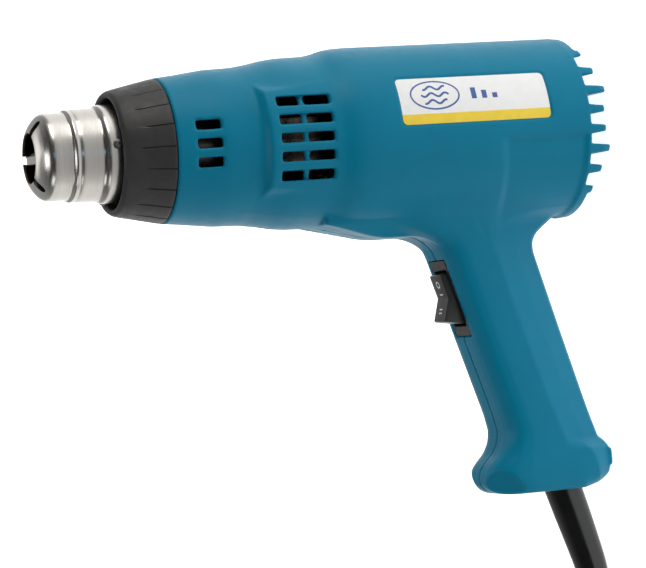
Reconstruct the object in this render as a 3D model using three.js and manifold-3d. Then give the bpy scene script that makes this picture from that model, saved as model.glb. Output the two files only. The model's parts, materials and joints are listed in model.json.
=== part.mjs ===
// A hot-air gun standing on its tail with the nozzle up, and its mains lead in a coil beside it.
// Z runs along the barrel from the tail, which is the standing plane, to the nozzle.
// X points from the handle to the top of the barrel, and Y to the right side of the gun.
// Sizes are in millimetres.

import * as THREE from 'three';
import { mergeVertices } from 'three/addons/utils/BufferGeometryUtils.js';
import Module from 'manifold-3d';

const wasm = await Module();
wasm.setup();

// ---------------------------------------------------------------- driving dimensions

const BARREL_RADIUS = 38;
const WALL = 2.6;
const GAP = 0.3;                      // clearance between pieces that touch
const HANDLE_REACH = 151;             // barrel axis to the bottom of the handle
const BARREL_AXIS_X = (HANDLE_REACH - BARREL_RADIUS) / 2;   // puts the gun's middle on x = 0

const RIM_Z = 9.5;                    // tail rim behind the intake fins
const END_PLATE_Z = 7;
const FIN_ROOT_Z = 20;
const FIN_PITCH = 8.1;
const FIN_OFFSET = 0.8;               // the fin stack sits a little above the axis
const FIN_ROOT_HALF = 1.95;
const FIN_TIP_HALF = 1.3;
const FIN_TIPS = [5.4, 3.4, 0, 2.4, 2.4, 0, 3.2, 5];   // z of each tip, lowest fin first
const HOUSING_FRONT_Z = 184.6;

const HANDLE_LEAN = THREE.MathUtils.degToRad(17.17);

const SLOT_PITCH = 7.4;
const SLOT_HALF = 1.95;
const GRILLE_ROWS = 5;
const GRILLE_Z = [121, 131.6, 133.9, 143.6];
const SMALL_SLOT_ROWS = 3;
const SMALL_SLOT_Z = [166.4, 176.7];

const LABEL_Z = [27.4, 92.6];
const LABEL_X = [2.2, 21.4];
const LABEL_DEPTH = 0.7;
const LABEL_THICKNESS = 0.35;

const GUARD_REAR_RADIUS = 29;
const GUARD_FRONT_RADIUS = 25;
const GUARD_FRONT_Z = 205.5;
const GUARD_GROOVES = 20;

const NOZZLE_TIP_Z = 237.4;
const NOZZLE_REAR_Z = 196;
const NOZZLE_RADIUS = 17.4;
const MOUTH_RADIUS = 9.8;
const NOZZLE_SLOTS = 3;
const NOZZLE_SLOT_HALF = 1.6;
const NOZZLE_SLOT_REACH = 15.9;
const BRIDGE_HALF = [2.2, 14.6];      // across and along
const BRIDGE_Z = [232.8, 234.4];
const NOZZLE_SCREWS = 3;
const NOZZLE_SCREW_Z = 206;
const NOZZLE_SCREW_HEAD = [1.9, 1.2];   // radius and height
const NOZZLE_SCREW_RADIUS = 20.7;     // barrel axis to the middle of the head
const NOZZLE_SCREW_TURN = THREE.MathUtils.degToRad(7);
const NOZZLE_SEAT = [[16, 187], [23.3, 187], [23.3, 190], [21, 190], [21, 195.6], [16, 195.6]];

const ROCKER_TILT = THREE.MathUtils.degToRad(16);
const SWITCH_X = -68.4;
const ROCKER_PIVOT_Z = -2.6;          // in the switch's own frame

const CORD_RADIUS = 3.9;
const COIL_CENTRE_X = -253;
const COIL_INNER = 35.3;
const COIL_OUTER = 51.3;
const COIL_Z = [1.5, 33.3];
const COIL_SHOULDER = [43, 24];       // radius and z of the slope where the top outer turn is missing

// ---------------------------------------------------------------- materials

function material(color, roughness, metalness = 0) {
  return new THREE.MeshStandardMaterial({ color, roughness, metalness });
}

const teal = material(0x00738f, 0.5);
const guardBlack = material(0x3c3a38, 0.6);
const steel = material(0xb9bdc0, 0.25, 1);
const switchBlack = material(0x2a2827, 0.45);
const paper = material(0xf2f1ec, 0.45);
const rubber = material(0x161616, 0.4);
const brass = material(0xc9a24a, 0.3, 1);
const zinc = material(0x9aa0a4, 0.35, 1);
const ceramic = material(0xd8cdb8, 0.8);
const mica = material(0xb08b5a, 0.6);
const heatWire = material(0x6a5c52, 0.5, 1);
const board = material(0x2f6b3a, 0.6);
const whitePlastic = material(0xe6e4dc, 0.5);
const redWire = material(0x9c2b20, 0.5);
const blueWire = material(0x2b4f8c, 0.5);
const brownWire = material(0x5b3a24, 0.5);

// ---------------------------------------------------------------- solids and cuts

// Vertices and triangles of a closed surface, facing out.
function closedMesh(source) {
  const bare = source.clone();
  bare.deleteAttribute('normal');
  bare.deleteAttribute('uv');
  const merged = mergeVertices(bare, 1e-4);
  const points = merged.attributes.position.array;
  const triangles = [];
  let volume = 0;
  const corner = [new THREE.Vector3(), new THREE.Vector3(), new THREE.Vector3()];
  for (let i = 0; i < merged.index.count; i += 3) {
    const face = [0, 1, 2].map((k) => merged.index.getX(i + k));
    if (new Set(face).size < 3) continue;
    face.forEach((vertex, k) => corner[k].fromArray(points, 3 * vertex));
    volume += corner[0].dot(corner[1].clone().cross(corner[2])) / 6;
    triangles.push(...face);
  }
  if (volume < 0) triangles.reverse();
  return { vertices: new Float32Array(points), triangles: new Uint32Array(triangles) };
}

function solid(source) {
  const { vertices, triangles } = closedMesh(source);
  return new wasm.Manifold(
    new wasm.Mesh({ numProp: 3, vertProperties: vertices, triVerts: triangles }));
}

function geometryOf(vertices, triangles) {
  const geometry = new THREE.BufferGeometry();
  geometry.setAttribute('position', new THREE.BufferAttribute(new Float32Array(vertices), 3));
  geometry.setIndex(new THREE.BufferAttribute(new Uint32Array(triangles), 1));
  geometry.computeVertexNormals();
  return geometry;
}

function cutGeometry(body) {
  const mesh = body.getMesh();
  return geometryOf(mesh.vertProperties, mesh.triVerts);
}

function plainGeometry(source) {
  const { vertices, triangles } = closedMesh(source);
  return geometryOf(vertices, triangles);
}

function joined(sources) {
  return sources.map(solid).reduce((sum, next) => sum.add(next));
}

// ---------------------------------------------------------------- shape helpers

function block([x0, x1], [y0, y1], [z0, z1]) {
  const box = new THREE.BoxGeometry(x1 - x0, y1 - y0, z1 - z0);
  return box.translate((x0 + x1) / 2, (y0 + y1) / 2, (z0 + z1) / 2);
}

// A solid of revolution about Z from a closed outline of [radius, z] points.
function revolve(outline, segments = 36) {
  const points = outline.map(([radius, z]) => new THREE.Vector2(radius, z));
  if (outline[0][0] > 0) points.push(points[0].clone());
  return new THREE.LatheGeometry(points, segments).rotateX(Math.PI / 2);
}

function tubeOutline(inner, outer, z0, z1) {
  return [[inner, z0], [outer, z0], [outer, z1], [inner, z1]];
}

function rodAlongZ(radius, z0, z1, segments = 16) {
  const rod = new THREE.CylinderGeometry(radius, radius, z1 - z0, segments);
  return rod.rotateX(Math.PI / 2).translate(0, 0, (z0 + z1) / 2);
}

function rodAlongY(radius, [x, z], y0, y1, segments = 12) {
  const rod = new THREE.CylinderGeometry(radius, radius, y1 - y0, segments);
  return rod.translate(x, (y0 + y1) / 2, z);
}

// An outline of [x, z] points, extruded from y0 to y1.
function profileAlongY(outline, y0, y1) {
  const shape = new THREE.Shape(outline.map(([x, z]) => new THREE.Vector2(x, z)));
  const extruded = new THREE.ExtrudeGeometry(shape, { depth: y1 - y0, bevelEnabled: false });
  return extruded.rotateX(Math.PI / 2).translate(0, y1, 0);
}

// An outline of [x, y] points, extruded from z0 to z1.
function profileAlongZ(outline, z0, z1) {
  const shape = new THREE.Shape(outline.map(([x, y]) => new THREE.Vector2(x, y)));
  const extruded = new THREE.ExtrudeGeometry(shape, { depth: z1 - z0, bevelEnabled: false });
  return extruded.translate(0, 0, z0);
}

// A closed skin through loops of equal length, with flat ends.
function loft(loops) {
  const count = loops[0].length;
  const points = loops.flat();
  const middle = (loop) => loop.reduce((sum, p) => sum.add(p), new THREE.Vector3())
    .divideScalar(count);
  const first = points.length;
  points.push(middle(loops[0]), middle(loops[loops.length - 1]));
  const triangles = [];
  const last = (loops.length - 1) * count;
  for (let k = 0; k < count; k += 1) {
    const next = (k + 1) % count;
    for (let row = 0; row < last; row += count) {
      const [a, b, c, d] = [row + k, row + next, row + count + next, row + count + k];
      triangles.push(a, b, c, a, c, d);
    }
    triangles.push(first, next, k, first + 1, last + k, last + next);
  }
  return plainGeometry(geometryOf(points.flatMap((p) => p.toArray()), triangles));
}

function polygonShape(radius, sides) {
  const corners = Array.from({ length: sides }, (_, k) => {
    const angle = (2 * Math.PI * k) / sides;
    return new THREE.Vector2(radius * Math.cos(angle), radius * Math.sin(angle));
  });
  return new THREE.Shape(corners);
}

// A round cable of constant radius through the points.
function cable(points, radius, sides, steps) {
  const path = new THREE.CatmullRomCurve3(
    points.map((p) => new THREE.Vector3(...p)), false, 'centripetal');
  return new THREE.ExtrudeGeometry(polygonShape(radius, sides), { steps, extrudePath: path });
}

// A closed skin of circles about the points of a path in the XZ plane: [x, z, radius] each.
function taperedSleeve(stations, sides) {
  const centres = stations.map(([x, z]) => new THREE.Vector3(x, 0, z));
  const loops = stations.map(([, , radius], i) => {
    const before = centres[Math.max(i - 1, 0)];
    const after = centres[Math.min(i + 1, centres.length - 1)];
    const along = after.clone().sub(before).normalize();
    const across = new THREE.Vector3(0, 1, 0);
    const up = across.clone().cross(along);
    return Array.from({ length: sides }, (_, k) => {
      const angle = (2 * Math.PI * k) / sides;
      return centres[i].clone()
        .addScaledVector(across, radius * Math.cos(angle))
        .addScaledVector(up, radius * Math.sin(angle));
    });
  });
  return loft(loops);
}

// ---------------------------------------------------------------- housing shape

// Barrel skin radius along z: straight from the tail, then stepping down towards the guard.
const BARREL_SKIN = [
  [35.4, 0], [36.7, 1.4], [37.6, 4], [BARREL_RADIUS, 8], [BARREL_RADIUS, 103], [37.7, 109],
  [37.1, 112.8], [35.9, 116.8], [35.15, 121], [34.9, 133], [34.3, 138.5], [33, 145],
  [32, 152], [31.6, 164], [30.1, 176], [GUARD_REAR_RADIUS + 0.2, HOUSING_FRONT_Z],
];

function barrelCavity() {
  const inner = BARREL_RADIUS - WALL;
  return revolve([[0, RIM_Z - 3], [inner, RIM_Z - 3], [inner, 104], [32.4, 120], [32.2, 133],
    [29.3, 151], [28.6, 165], [26.6, HOUSING_FRONT_Z + 1], [0, HOUSING_FRONT_Z + 1]]);
}

function barrelOuter() {
  const [tailRadius] = BARREL_SKIN[3];
  const outline = BARREL_SKIN.filter(([, z]) => z > RIM_Z);
  return revolve([[0, RIM_Z], [tailRadius, RIM_Z], ...outline, [0, HOUSING_FRONT_Z]]);
}

// One side of the handle's cross-section, front middle to back middle, as fractions of the
// half depth (front +1, back -1) and of the half width.
const HANDLE_SECTION = [
  [1, 0], [1, 0.58], [0.93, 0.82], [0.76, 0.97], [0.35, 1], [0.02, 1], [-0.48, 0.76],
  [-0.9, 0.5], [-1, 0.32], [-1, 0],
];

// Stations down the handle: x, front z, back z and half width.
const HANDLE_STATIONS = [
  [-24, 86, 14, 17.2], [-37.5, 83, 15, 17.2], [-40.5, 79, 19.5, 17.2], [-43.5, 73.6, 23.4, 17.2],
  [-47, 69.6, 25.4, 17.2], [-51, 68, 25.4, 17.2], [-85, 57.9, 16, 17], [-118, 47.7, 6.6, 17],
  [-125, 46.2, 4.4, 17.2], [-130, 47, 2.8, 17.4], [-134.5, 49.6, 1.6, 17.8],
  [-138, 53.4, 1, 18.2], [-141.5, 56, 1, 18.4], [-146, 56.2, 2, 18.2],
  [-149.6, 53.8, 6.4, 17.4], [-151, 48.5, 11.5, 16],
];

function handleSection([x, front, back, halfWidth], inset) {
  const middle = (front + back) / 2;
  const depth = (front - back) / 2 - inset;
  const width = halfWidth - inset;
  const side = HANDLE_SECTION.map(([f, w]) => new THREE.Vector3(x, w * width, middle + f * depth));
  const other = side.slice(1, -1).reverse().map((p) => new THREE.Vector3(p.x, -p.y, p.z));
  return [...side, ...other];
}

function handleOuter() {
  return loft(HANDLE_STATIONS.map((station) => handleSection(station, 0)));
}

function handleInner() {
  const inner = HANDLE_STATIONS.filter(([x]) => x > -146)
    .map((station) => handleSection(station, WALL + 0.2));
  const floor = handleSection([-147.6, 54, 5.4, 17.8], WALL + 0.2);
  return loft([...inner, floor]);
}

function finHeight(index) {
  return FIN_OFFSET + (index - (FIN_TIPS.length - 1) / 2) * FIN_PITCH;
}

// Tapered slats across the tail, trimmed to the barrel's round outline.
function intakeFins() {
  const slats = FIN_TIPS.map((tip, index) => {
    const x = finHeight(index);
    return profileAlongY([
      [x - FIN_TIP_HALF, tip], [x + FIN_TIP_HALF, tip],
      [x + FIN_ROOT_HALF, RIM_Z], [x + FIN_ROOT_HALF, FIN_ROOT_Z],
      [x - FIN_ROOT_HALF, FIN_ROOT_Z], [x - FIN_ROOT_HALF, RIM_Z],
    ], -BARREL_RADIUS, BARREL_RADIUS);
  });
  const topPlate = block(
    [finHeight(FIN_TIPS.length - 1), BARREL_RADIUS], [-30, 30], [END_PLATE_Z, RIM_Z + WALL]);
  const bottomPlate = block([-BARREL_RADIUS, finHeight(0)], [-30, 30], [END_PLATE_Z, RIM_Z + WALL]);
  const tail = revolve([[0, -1], [BARREL_SKIN[0][0], -1],
    ...BARREL_SKIN.slice(0, 4), [BARREL_RADIUS, FIN_ROOT_Z + 1], [0, FIN_ROOT_Z + 1]]);
  return joined([...slats, topPlate, bottomPlate]).intersect(solid(tail));
}

// The raised pad that carries the side grille, on both sides, with chamfered edges.
function ventPads() {
  const ring = solid(revolve([[0, 118], [35.2, 118], [35.2, 149], [31.6, 153.4], [0, 153.4]]));
  const edge = 26;
  const wedge = profileAlongZ([
    [edge, -23], [19.6, -29.4], [19.6, -40], [-19.6, -40], [-19.6, -29.4], [-edge, -23],
    [-edge, 23], [-19.6, 29.4], [-19.6, 40], [19.6, 40], [19.6, 29.4], [edge, 23],
  ], 117, 154);
  return ring.intersect(solid(wedge));
}

// The finger rest under the barrel, in front of the handle.
function fingerRest() {
  const outline = [[-28, 112], [-37.4, 110], [-41.4, 93], [-41.4, 80], [-41.4, 60], [-28, 60]];
  const full = solid(profileAlongY(outline, -17, 17));
  const corner = 6;
  const trim = profileAlongZ([
    [-20, -17], [-41.4 + corner, -17], [-41.5, -17 + corner], [-41.5, 17 - corner],
    [-41.4 + corner, 17], [-20, 17],
  ], 50, 120);
  return full.intersect(solid(trim));
}

function heelPad() {
  return block([-143, -135.6], [-12.5, 12.5], [0, 9]);
}

function rowHeights(rows) {
  return Array.from({ length: rows }, (_, k) => (k - (rows - 1) / 2) * SLOT_PITCH);
}

// Every side slot as one cutter that runs right through the barrel.
function sideSlots() {
  const grille = rowHeights(GRILLE_ROWS).flatMap((x) => [
    block([x - SLOT_HALF, x + SLOT_HALF], [-50, 50], [GRILLE_Z[0], GRILLE_Z[1]]),
    block([x - SLOT_HALF, x + SLOT_HALF], [-50, 50], [GRILLE_Z[2], GRILLE_Z[3]]),
  ]);
  const small = rowHeights(SMALL_SLOT_ROWS).map(
    (x) => block([x - SLOT_HALF, x + SLOT_HALF], [-50, 50], SMALL_SLOT_Z));
  return joined([...grille, ...small]);
}

// A curved plate on the left side between two radii, along the label's field.
function labelPlate(innerRadius, outerRadius, margin) {
  const steps = 6;
  const low = Math.asin((LABEL_X[0] - margin) / BARREL_RADIUS);
  const high = Math.asin((LABEL_X[1] + margin) / BARREL_RADIUS);
  const arc = (radius) => Array.from({ length: steps + 1 }, (_, k) => {
    const angle = low + ((high - low) * k) / steps;
    return [radius * Math.sin(angle), -radius * Math.cos(angle)];
  });
  const outline = [...arc(outerRadius), ...arc(innerRadius).reverse()];
  return profileAlongZ(outline, LABEL_Z[0] - margin, LABEL_Z[1] + margin);
}

// ---------------------------------------------------------------- switch placing

// In the switch's own frame +X runs up the handle, +Z out of its front, z = 0 is its front face.
const switchPlace = new THREE.Matrix4()
  .makeRotationY(-HANDLE_LEAN)
  .setPosition(SWITCH_X, 0, 57.9 + (SWITCH_X + 85) * Math.tan(HANDLE_LEAN));

function onHandleFront(geometry) {
  return geometry.applyMatrix4(switchPlace);
}

const SWITCH_HALF = [16.7, 7.8];       // bezel half length and half width
const SWITCH_BODY_HALF = [14.4, 7];
const SWITCH_BODY_DEPTH = 18;
const SWITCH_WELL_HALF = [12.3, 6.15];
const BEZEL_Z = [-2.2, -0.5];
const ROCKER_PIN_RADIUS = 0.9;

// ---------------------------------------------------------------- housing screws

// Places of the housing screws as [x, z], and the height y of each head's seat.
const HOUSING_SCREWS = [
  { at: [31.2, 28], seat: 11 }, { at: [31, 112], seat: 10 }, { at: [-31, 112], seat: 10 },
  { at: [-40, 34], seat: 9.5 }, { at: [-93, 20.6], seat: 8 }, { at: [-138.5, 46], seat: 10 },
];
const SCREW_RADIUS = 1.6;
const SCREW_HEAD_RADIUS = 3.1;
const BOSS_RADIUS = 4.6;
const SCREW_TIP_Y = -9;

function screwBosses() {
  return joined(HOUSING_SCREWS.map(({ at }) => rodAlongY(BOSS_RADIUS, at, -30, 30, 12)));
}

function screwHoles() {
  return joined(HOUSING_SCREWS.flatMap(({ at, seat }) => [
    rodAlongY(SCREW_RADIUS + GAP, at, SCREW_TIP_Y - GAP, seat + 1, 10),
    rodAlongY(SCREW_HEAD_RADIUS + GAP, at, seat, 50, 12),
  ]));
}

function housingScrew({ at, seat }) {
  const shank = rodAlongY(SCREW_RADIUS, at, SCREW_TIP_Y, seat + 1.5, 10);
  const head = rodAlongY(SCREW_HEAD_RADIUS, at, seat + GAP, seat + 2.6, 12);
  const [x, z] = at;
  const drive = block([x - 0.5, x + 0.5], [seat + 1.8, seat + 3], [z - 2.2, z + 2.2]);
  return cutGeometry(joined([shank, head]).subtract(solid(drive)));
}

// ---------------------------------------------------------------- housing halves

const SLEEVE_NECK_RADIUS = 7.8;
const SLEEVE_FLANGE_RADIUS = 9.4;

function sleeveHole() {
  const flange = SLEEVE_FLANGE_RADIUS + 0.8;
  const neck = SLEEVE_NECK_RADIUS + 0.4;
  return taperedSleeve(
    [[-138, 22.3, flange], [-146.6, 19.7, flange], [-146.7, 19.7, neck], [-158, 16.2, neck]], 20);
}

function housingShell() {
  const outer = solid(barrelOuter())
    .add(ventPads())
    .add(fingerRest())
    .add(solid(handleOuter()))
    .add(solid(heelPad()));
  const cavity = solid(barrelCavity())
    .add(solid(handleInner()));
  const spigotBore = rodAlongZ(26.5, 176, HOUSING_FRONT_Z + 1, 36);
  const switchRim = solid(onHandleFront(block([-21, 21], [-11.5, 11.5], [-6, 2]))).intersect(outer);
  const switchSeat = onHandleFront(block(
    [-SWITCH_HALF[0] - GAP, SWITCH_HALF[0] + GAP], [-SWITCH_HALF[1] - GAP, SWITCH_HALF[1] + GAP],
    [BEZEL_Z[0] - GAP, 6]));
  const switchWell = onHandleFront(block(
    [-SWITCH_BODY_HALF[0] - GAP, SWITCH_BODY_HALF[0] + GAP],
    [-SWITCH_BODY_HALF[1] - GAP, SWITCH_BODY_HALF[1] + GAP], [-SWITCH_BODY_DEPTH - 4, 4]));
  const bosses = screwBosses().intersect(outer);
  return outer.subtract(cavity)
    .add(switchRim)
    .add(bosses)
    .add(intakeFins())
    .subtract(joined([spigotBore, switchSeat, switchWell, sleeveHole()]))
    .subtract(sideSlots())
    .subtract(screwHoles());
}

function housingHalf(side) {
  const half = GAP / 2;
  const room = side < 0 ? [-60, -half] : [half, 60];
  const keep = solid(block([-200, 60], room, [-10, 200]));
  let body = shell.intersect(keep);
  if (side < 0) {
    body = body.subtract(solid(labelPlate(BARREL_RADIUS - LABEL_DEPTH, BARREL_RADIUS + 2, GAP)));
  }
  return cutGeometry(body);
}

const shell = housingShell();

// ---------------------------------------------------------------- nozzle end

function nozzleGuard() {
  const front = GUARD_FRONT_Z;
  const rear = HOUSING_FRONT_Z + GAP;
  const body = solid(revolve([
    [23.8, 178], [26.2, 178], [26.2, rear], [GUARD_REAR_RADIUS, rear],
    [GUARD_REAR_RADIUS, rear + 1], [GUARD_FRONT_RADIUS + 0.6, front - 3.6],
    [GUARD_FRONT_RADIUS, front - 1.4], [GUARD_FRONT_RADIUS - 1, front],
    [GUARD_FRONT_RADIUS - 2.2, front - 0.2], [GUARD_FRONT_RADIUS - 3, front - 1.2],
    [22.2, front - 4], [24.6, rear + 2],
  ], 30));
  const groove = () => block([GUARD_REAR_RADIUS - 2.4, GUARD_REAR_RADIUS + 2], [-0.6, 0.6],
    [rear + 0.8, rear + 12.5]);
  const taper = Math.atan2(GUARD_REAR_RADIUS - GUARD_FRONT_RADIUS - 0.6, front - rear - 4.6);
  const grooves = Array.from({ length: GUARD_GROOVES }, (_, k) => groove()
    .translate(1.5, 0, -rear).rotateY(-taper).translate(0, 0, rear)
    .rotateZ((2 * Math.PI * (k + 0.5)) / GUARD_GROOVES));
  return cutGeometry(body.subtract(joined(grooves)));
}

// The nozzle's section as [radius, z]: two steps on the outside and a domed front.
const NOZZLE_OUTSIDE = [
  [19.7, NOZZLE_REAR_Z], [19.7, 209.4], [18.6, 211.2], [18.5, 219.6], [18.25, 221], [18.45, 222],
  [18.2, 222.7], [NOZZLE_RADIUS, 223.3], [NOZZLE_RADIUS, 229.8], [17.3, 231.5], [16.55, 233.1],
  [15.1, 234.6], [13.2, 236], [11.3, 237.05], [MOUTH_RADIUS, NOZZLE_TIP_Z],
];
const NOZZLE_INSIDE = [
  [MOUTH_RADIUS, NOZZLE_TIP_Z - 1.4], [11, 235.7], [12.7, 234.7], [14.3, 233.4], [15.5, 232],
  [16.1, 230.2], [16.1, 222.4], [17.2, 221.2], [17.2, 211.6], [18.4, 209.2],
  [18.4, NOZZLE_REAR_Z],
];

function nozzleTube() {
  const wall = solid(revolve([...NOZZLE_OUTSIDE, ...NOZZLE_INSIDE], 24));
  const slots = Array.from({ length: NOZZLE_SLOTS }, (_, k) => block(
    [MOUTH_RADIUS - 1, NOZZLE_SLOT_REACH], [-NOZZLE_SLOT_HALF, NOZZLE_SLOT_HALF],
    [NOZZLE_TIP_Z - 6, NOZZLE_TIP_Z + 1]).rotateZ(Math.PI / 2 + (2 * Math.PI * k) / NOZZLE_SLOTS));
  const bridge = block([-BRIDGE_HALF[0], BRIDGE_HALF[0]], [-BRIDGE_HALF[1], BRIDGE_HALF[1]],
    BRIDGE_Z);
  return cutGeometry(wall.subtract(joined(slots)).add(solid(bridge)));
}

function nozzleScrew(index) {
  const [radius, height] = NOZZLE_SCREW_HEAD;
  const head = new THREE.CylinderGeometry(radius, radius, height, 12);
  head.rotateZ(Math.PI / 2).translate(NOZZLE_SCREW_RADIUS, 0, NOZZLE_SCREW_Z);
  const turn = NOZZLE_SCREW_TURN - Math.PI / 2 + (2 * Math.PI * index) / NOZZLE_SCREWS;
  return plainGeometry(head.rotateZ(turn));
}

// ---------------------------------------------------------------- switch

function switchBody() {
  const bezel = onHandleFront(block(
    [-SWITCH_HALF[0], SWITCH_HALF[0]], [-SWITCH_HALF[1], SWITCH_HALF[1]], BEZEL_Z));
  const body = onHandleFront(block(
    [-SWITCH_BODY_HALF[0], SWITCH_BODY_HALF[0]], [-SWITCH_BODY_HALF[1], SWITCH_BODY_HALF[1]],
    [-SWITCH_BODY_DEPTH, BEZEL_Z[0] + 0.5]));
  const well = onHandleFront(block(
    [-SWITCH_WELL_HALF[0], SWITCH_WELL_HALF[0]], [-SWITCH_WELL_HALF[1], SWITCH_WELL_HALF[1]],
    [-13, 2]));
  const pinHole = onHandleFront(
    rodAlongY(ROCKER_PIN_RADIUS + GAP, [0, ROCKER_PIVOT_Z], -6.9, 6.9, 10));
  return cutGeometry(joined([bezel, body]).subtract(joined([well, pinHole])));
}

// The rocker's side outline in its middle position, about its pivot.
const ROCKER_OUTLINE = [
  [0, 5.4], [9.3, 8], [9.9, 7.4], [11.2, 0], [10.2, -4.4], [6, -6.4], [-6, -6.4], [-10.2, -4.4],
  [-11.2, 0], [-9.9, 7.4], [-9.3, 8],
];

function switchRocker() {
  const body = profileAlongY(ROCKER_OUTLINE, -5.8, 5.8);
  const bore = rodAlongY(ROCKER_PIN_RADIUS + GAP, [0, 0], -7, 7, 10);
  const cut = cutGeometry(solid(body).subtract(solid(bore)));
  return onHandleFront(cut.rotateY(ROCKER_TILT).translate(0, 0, ROCKER_PIVOT_Z));
}

function rockerPin() {
  return onHandleFront(rodAlongY(ROCKER_PIN_RADIUS, [0, ROCKER_PIVOT_Z], -6.6, 6.6, 10));
}

function switchTerminal(index) {
  const x = (index - 1) * 9;
  return onHandleFront(block([x - 0.4, x + 0.4], [-3.2, 3.2],
    [-SWITCH_BODY_DEPTH - 7.5, -SWITCH_BODY_DEPTH - GAP]));
}

// ---------------------------------------------------------------- motor and fan

const MOTOR_RADIUS = 18;
const MOTOR_Z = [28, 68];             // its bearing bosses included
const MOTOR_BOSSES = [8, 6];          // radius at the tail end and at the fan end
const SHAFT_RADIUS = 1.6;
const SHAFT_Z = [24, 87];
const MOUNT_RADIUS = 34.8;
const MOUNT_Z = 59;
const MOUNT_THICKNESS = 4;
const MOUNT_WINDOWS = 6;
const MOUNT_WINDOW = [6, 26.6];       // radius and distance from the barrel axis
const FAN_HUB = [[1.9, 71], [9, 71], [9, 84], [6, 86], [1.9, 86]];
const FAN_BLADES = 8;
const FAN_BLADE = [23, 1.4, 13];
const FAN_BLADE_MIDDLE = [19, 0, 78.5];
const FAN_BLADE_PITCH = THREE.MathUtils.degToRad(35);
const AIR_DUCT = [
  [30.8, 91], [32.4, 91], [32.4, 95], [24, 104], [24, 107], [22.6, 107], [22.6, 103.4],
  [30.8, 94.4],
];

function motorCan() {
  const bore = SHAFT_RADIUS + GAP + 0.1;
  const [rear, front] = MOTOR_Z;
  const [rearBoss, frontBoss] = MOTOR_BOSSES;
  const can = solid(revolve([
    [bore, rear], [rearBoss, rear], [rearBoss, rear + 3], [MOTOR_RADIUS, rear + 3],
    [MOTOR_RADIUS, front - 2], [frontBoss, front - 2], [frontBoss, front], [bore, front],
  ], 24));
  return cutGeometry(can);
}

function motorMount() {
  const disc = polygonShape(MOUNT_RADIUS, 30);
  disc.holes.push(new THREE.Path(polygonShape(MOTOR_RADIUS + GAP + 0.2, 24).getPoints()));
  const [windowRadius, windowReach] = MOUNT_WINDOW;
  for (let k = 0; k < MOUNT_WINDOWS; k += 1) {
    const outline = polygonShape(windowRadius, 8).getPoints();
    const turn = (2 * Math.PI * k) / MOUNT_WINDOWS + Math.PI / 4;
    const middle = new THREE.Vector2(Math.cos(turn), Math.sin(turn)).multiplyScalar(windowReach);
    disc.holes.push(new THREE.Path(outline.map((p) => p.clone().add(middle))));
  }
  const plate = new THREE.ExtrudeGeometry(disc, { depth: MOUNT_THICKNESS, bevelEnabled: false });
  return plainGeometry(plate.translate(0, 0, MOUNT_Z));
}

function fanImpeller() {
  const hub = revolve(FAN_HUB, 20);
  const blades = Array.from({ length: FAN_BLADES }, (_, k) => {
    const blade = new THREE.BoxGeometry(...FAN_BLADE);
    blade.rotateX(FAN_BLADE_PITCH).translate(...FAN_BLADE_MIDDLE);
    return blade.rotateZ((2 * Math.PI * k) / FAN_BLADES);
  });
  return cutGeometry(joined([hub, ...blades]));
}

// ---------------------------------------------------------------- heater

const CORE_LOBES = 6;
const CORE_RADII = [13.6, 10.6];      // over the lobes and between them
const CORE_Z = [112, 184];
const COIL_TURNS = 5;
const COIL_STEPS = 9;                 // in each turn
const COIL_WIRE = [15.6, 0.8];        // radius of the turns and of the wire
const COIL_WIRE_Z = [118, 176];
const SHIELD_RADII = [22.5, 23.1];
const SHIELD_Z = [108, 186.6];
const MICA_RADII = [18, 18.5];
const MICA_Z = [112, 186.6];
const CUTOUT_TURN = THREE.MathUtils.degToRad(225);

function heaterCore() {
  const corners = CORE_LOBES * 4;
  const outline = Array.from({ length: corners }, (_, k) => {
    const angle = (2 * Math.PI * k) / corners;
    const radius = CORE_RADII[k % 4 < 2 ? 0 : 1];
    return [radius * Math.cos(angle), radius * Math.sin(angle)];
  });
  return plainGeometry(profileAlongZ(outline, ...CORE_Z));
}

function heatingCoil() {
  const steps = COIL_TURNS * COIL_STEPS;
  const [radius, wireRadius] = COIL_WIRE;
  const [low, high] = COIL_WIRE_Z;
  const points = Array.from({ length: steps + 1 }, (_, k) => {
    const angle = (2 * Math.PI * k) / COIL_STEPS;
    return [radius * Math.cos(angle), radius * Math.sin(angle), low + ((high - low) * k) / steps];
  });
  return cable(points, wireRadius, 5, steps);
}

// ---------------------------------------------------------------- electrics in the handle

const HANDLE_MIDDLE = [-85, 36.95];   // a point of the handle's middle line, as x and z
const BOARD_X = -106;
const CLAMP_X = -131;
const CLAMP_Z = 24.6;
const CLAMP_SCREW_Z = 8;              // either side of the cord
const CLAMP_SHANK_RADIUS = 1.3;
const CLAMP_HEAD_RADIUS = 2.4;

// In this frame +X runs up the handle, +Z to its front and the origin is on its middle line.
function inHandle(geometry, x) {
  const z = HANDLE_MIDDLE[1] + (x - HANDLE_MIDDLE[0]) * Math.tan(HANDLE_LEAN);
  const station = new THREE.Matrix4().makeRotationY(-HANDLE_LEAN).setPosition(x, 0, z);
  return geometry.applyMatrix4(station);
}

function placeClamp(geometry) {
  return geometry.applyMatrix4(
    new THREE.Matrix4().makeRotationY(-HANDLE_LEAN).setPosition(CLAMP_X, 0, CLAMP_Z));
}

function clampScrew(side) {
  const place = [0, side * CLAMP_SCREW_Z];
  const shank = rodAlongY(CLAMP_SHANK_RADIUS, place, -7.2, 7, 10);
  const head = rodAlongY(CLAMP_HEAD_RADIUS, place, 6.7, 8.4, 10);
  return placeClamp(cutGeometry(joined([shank, head])));
}

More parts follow.
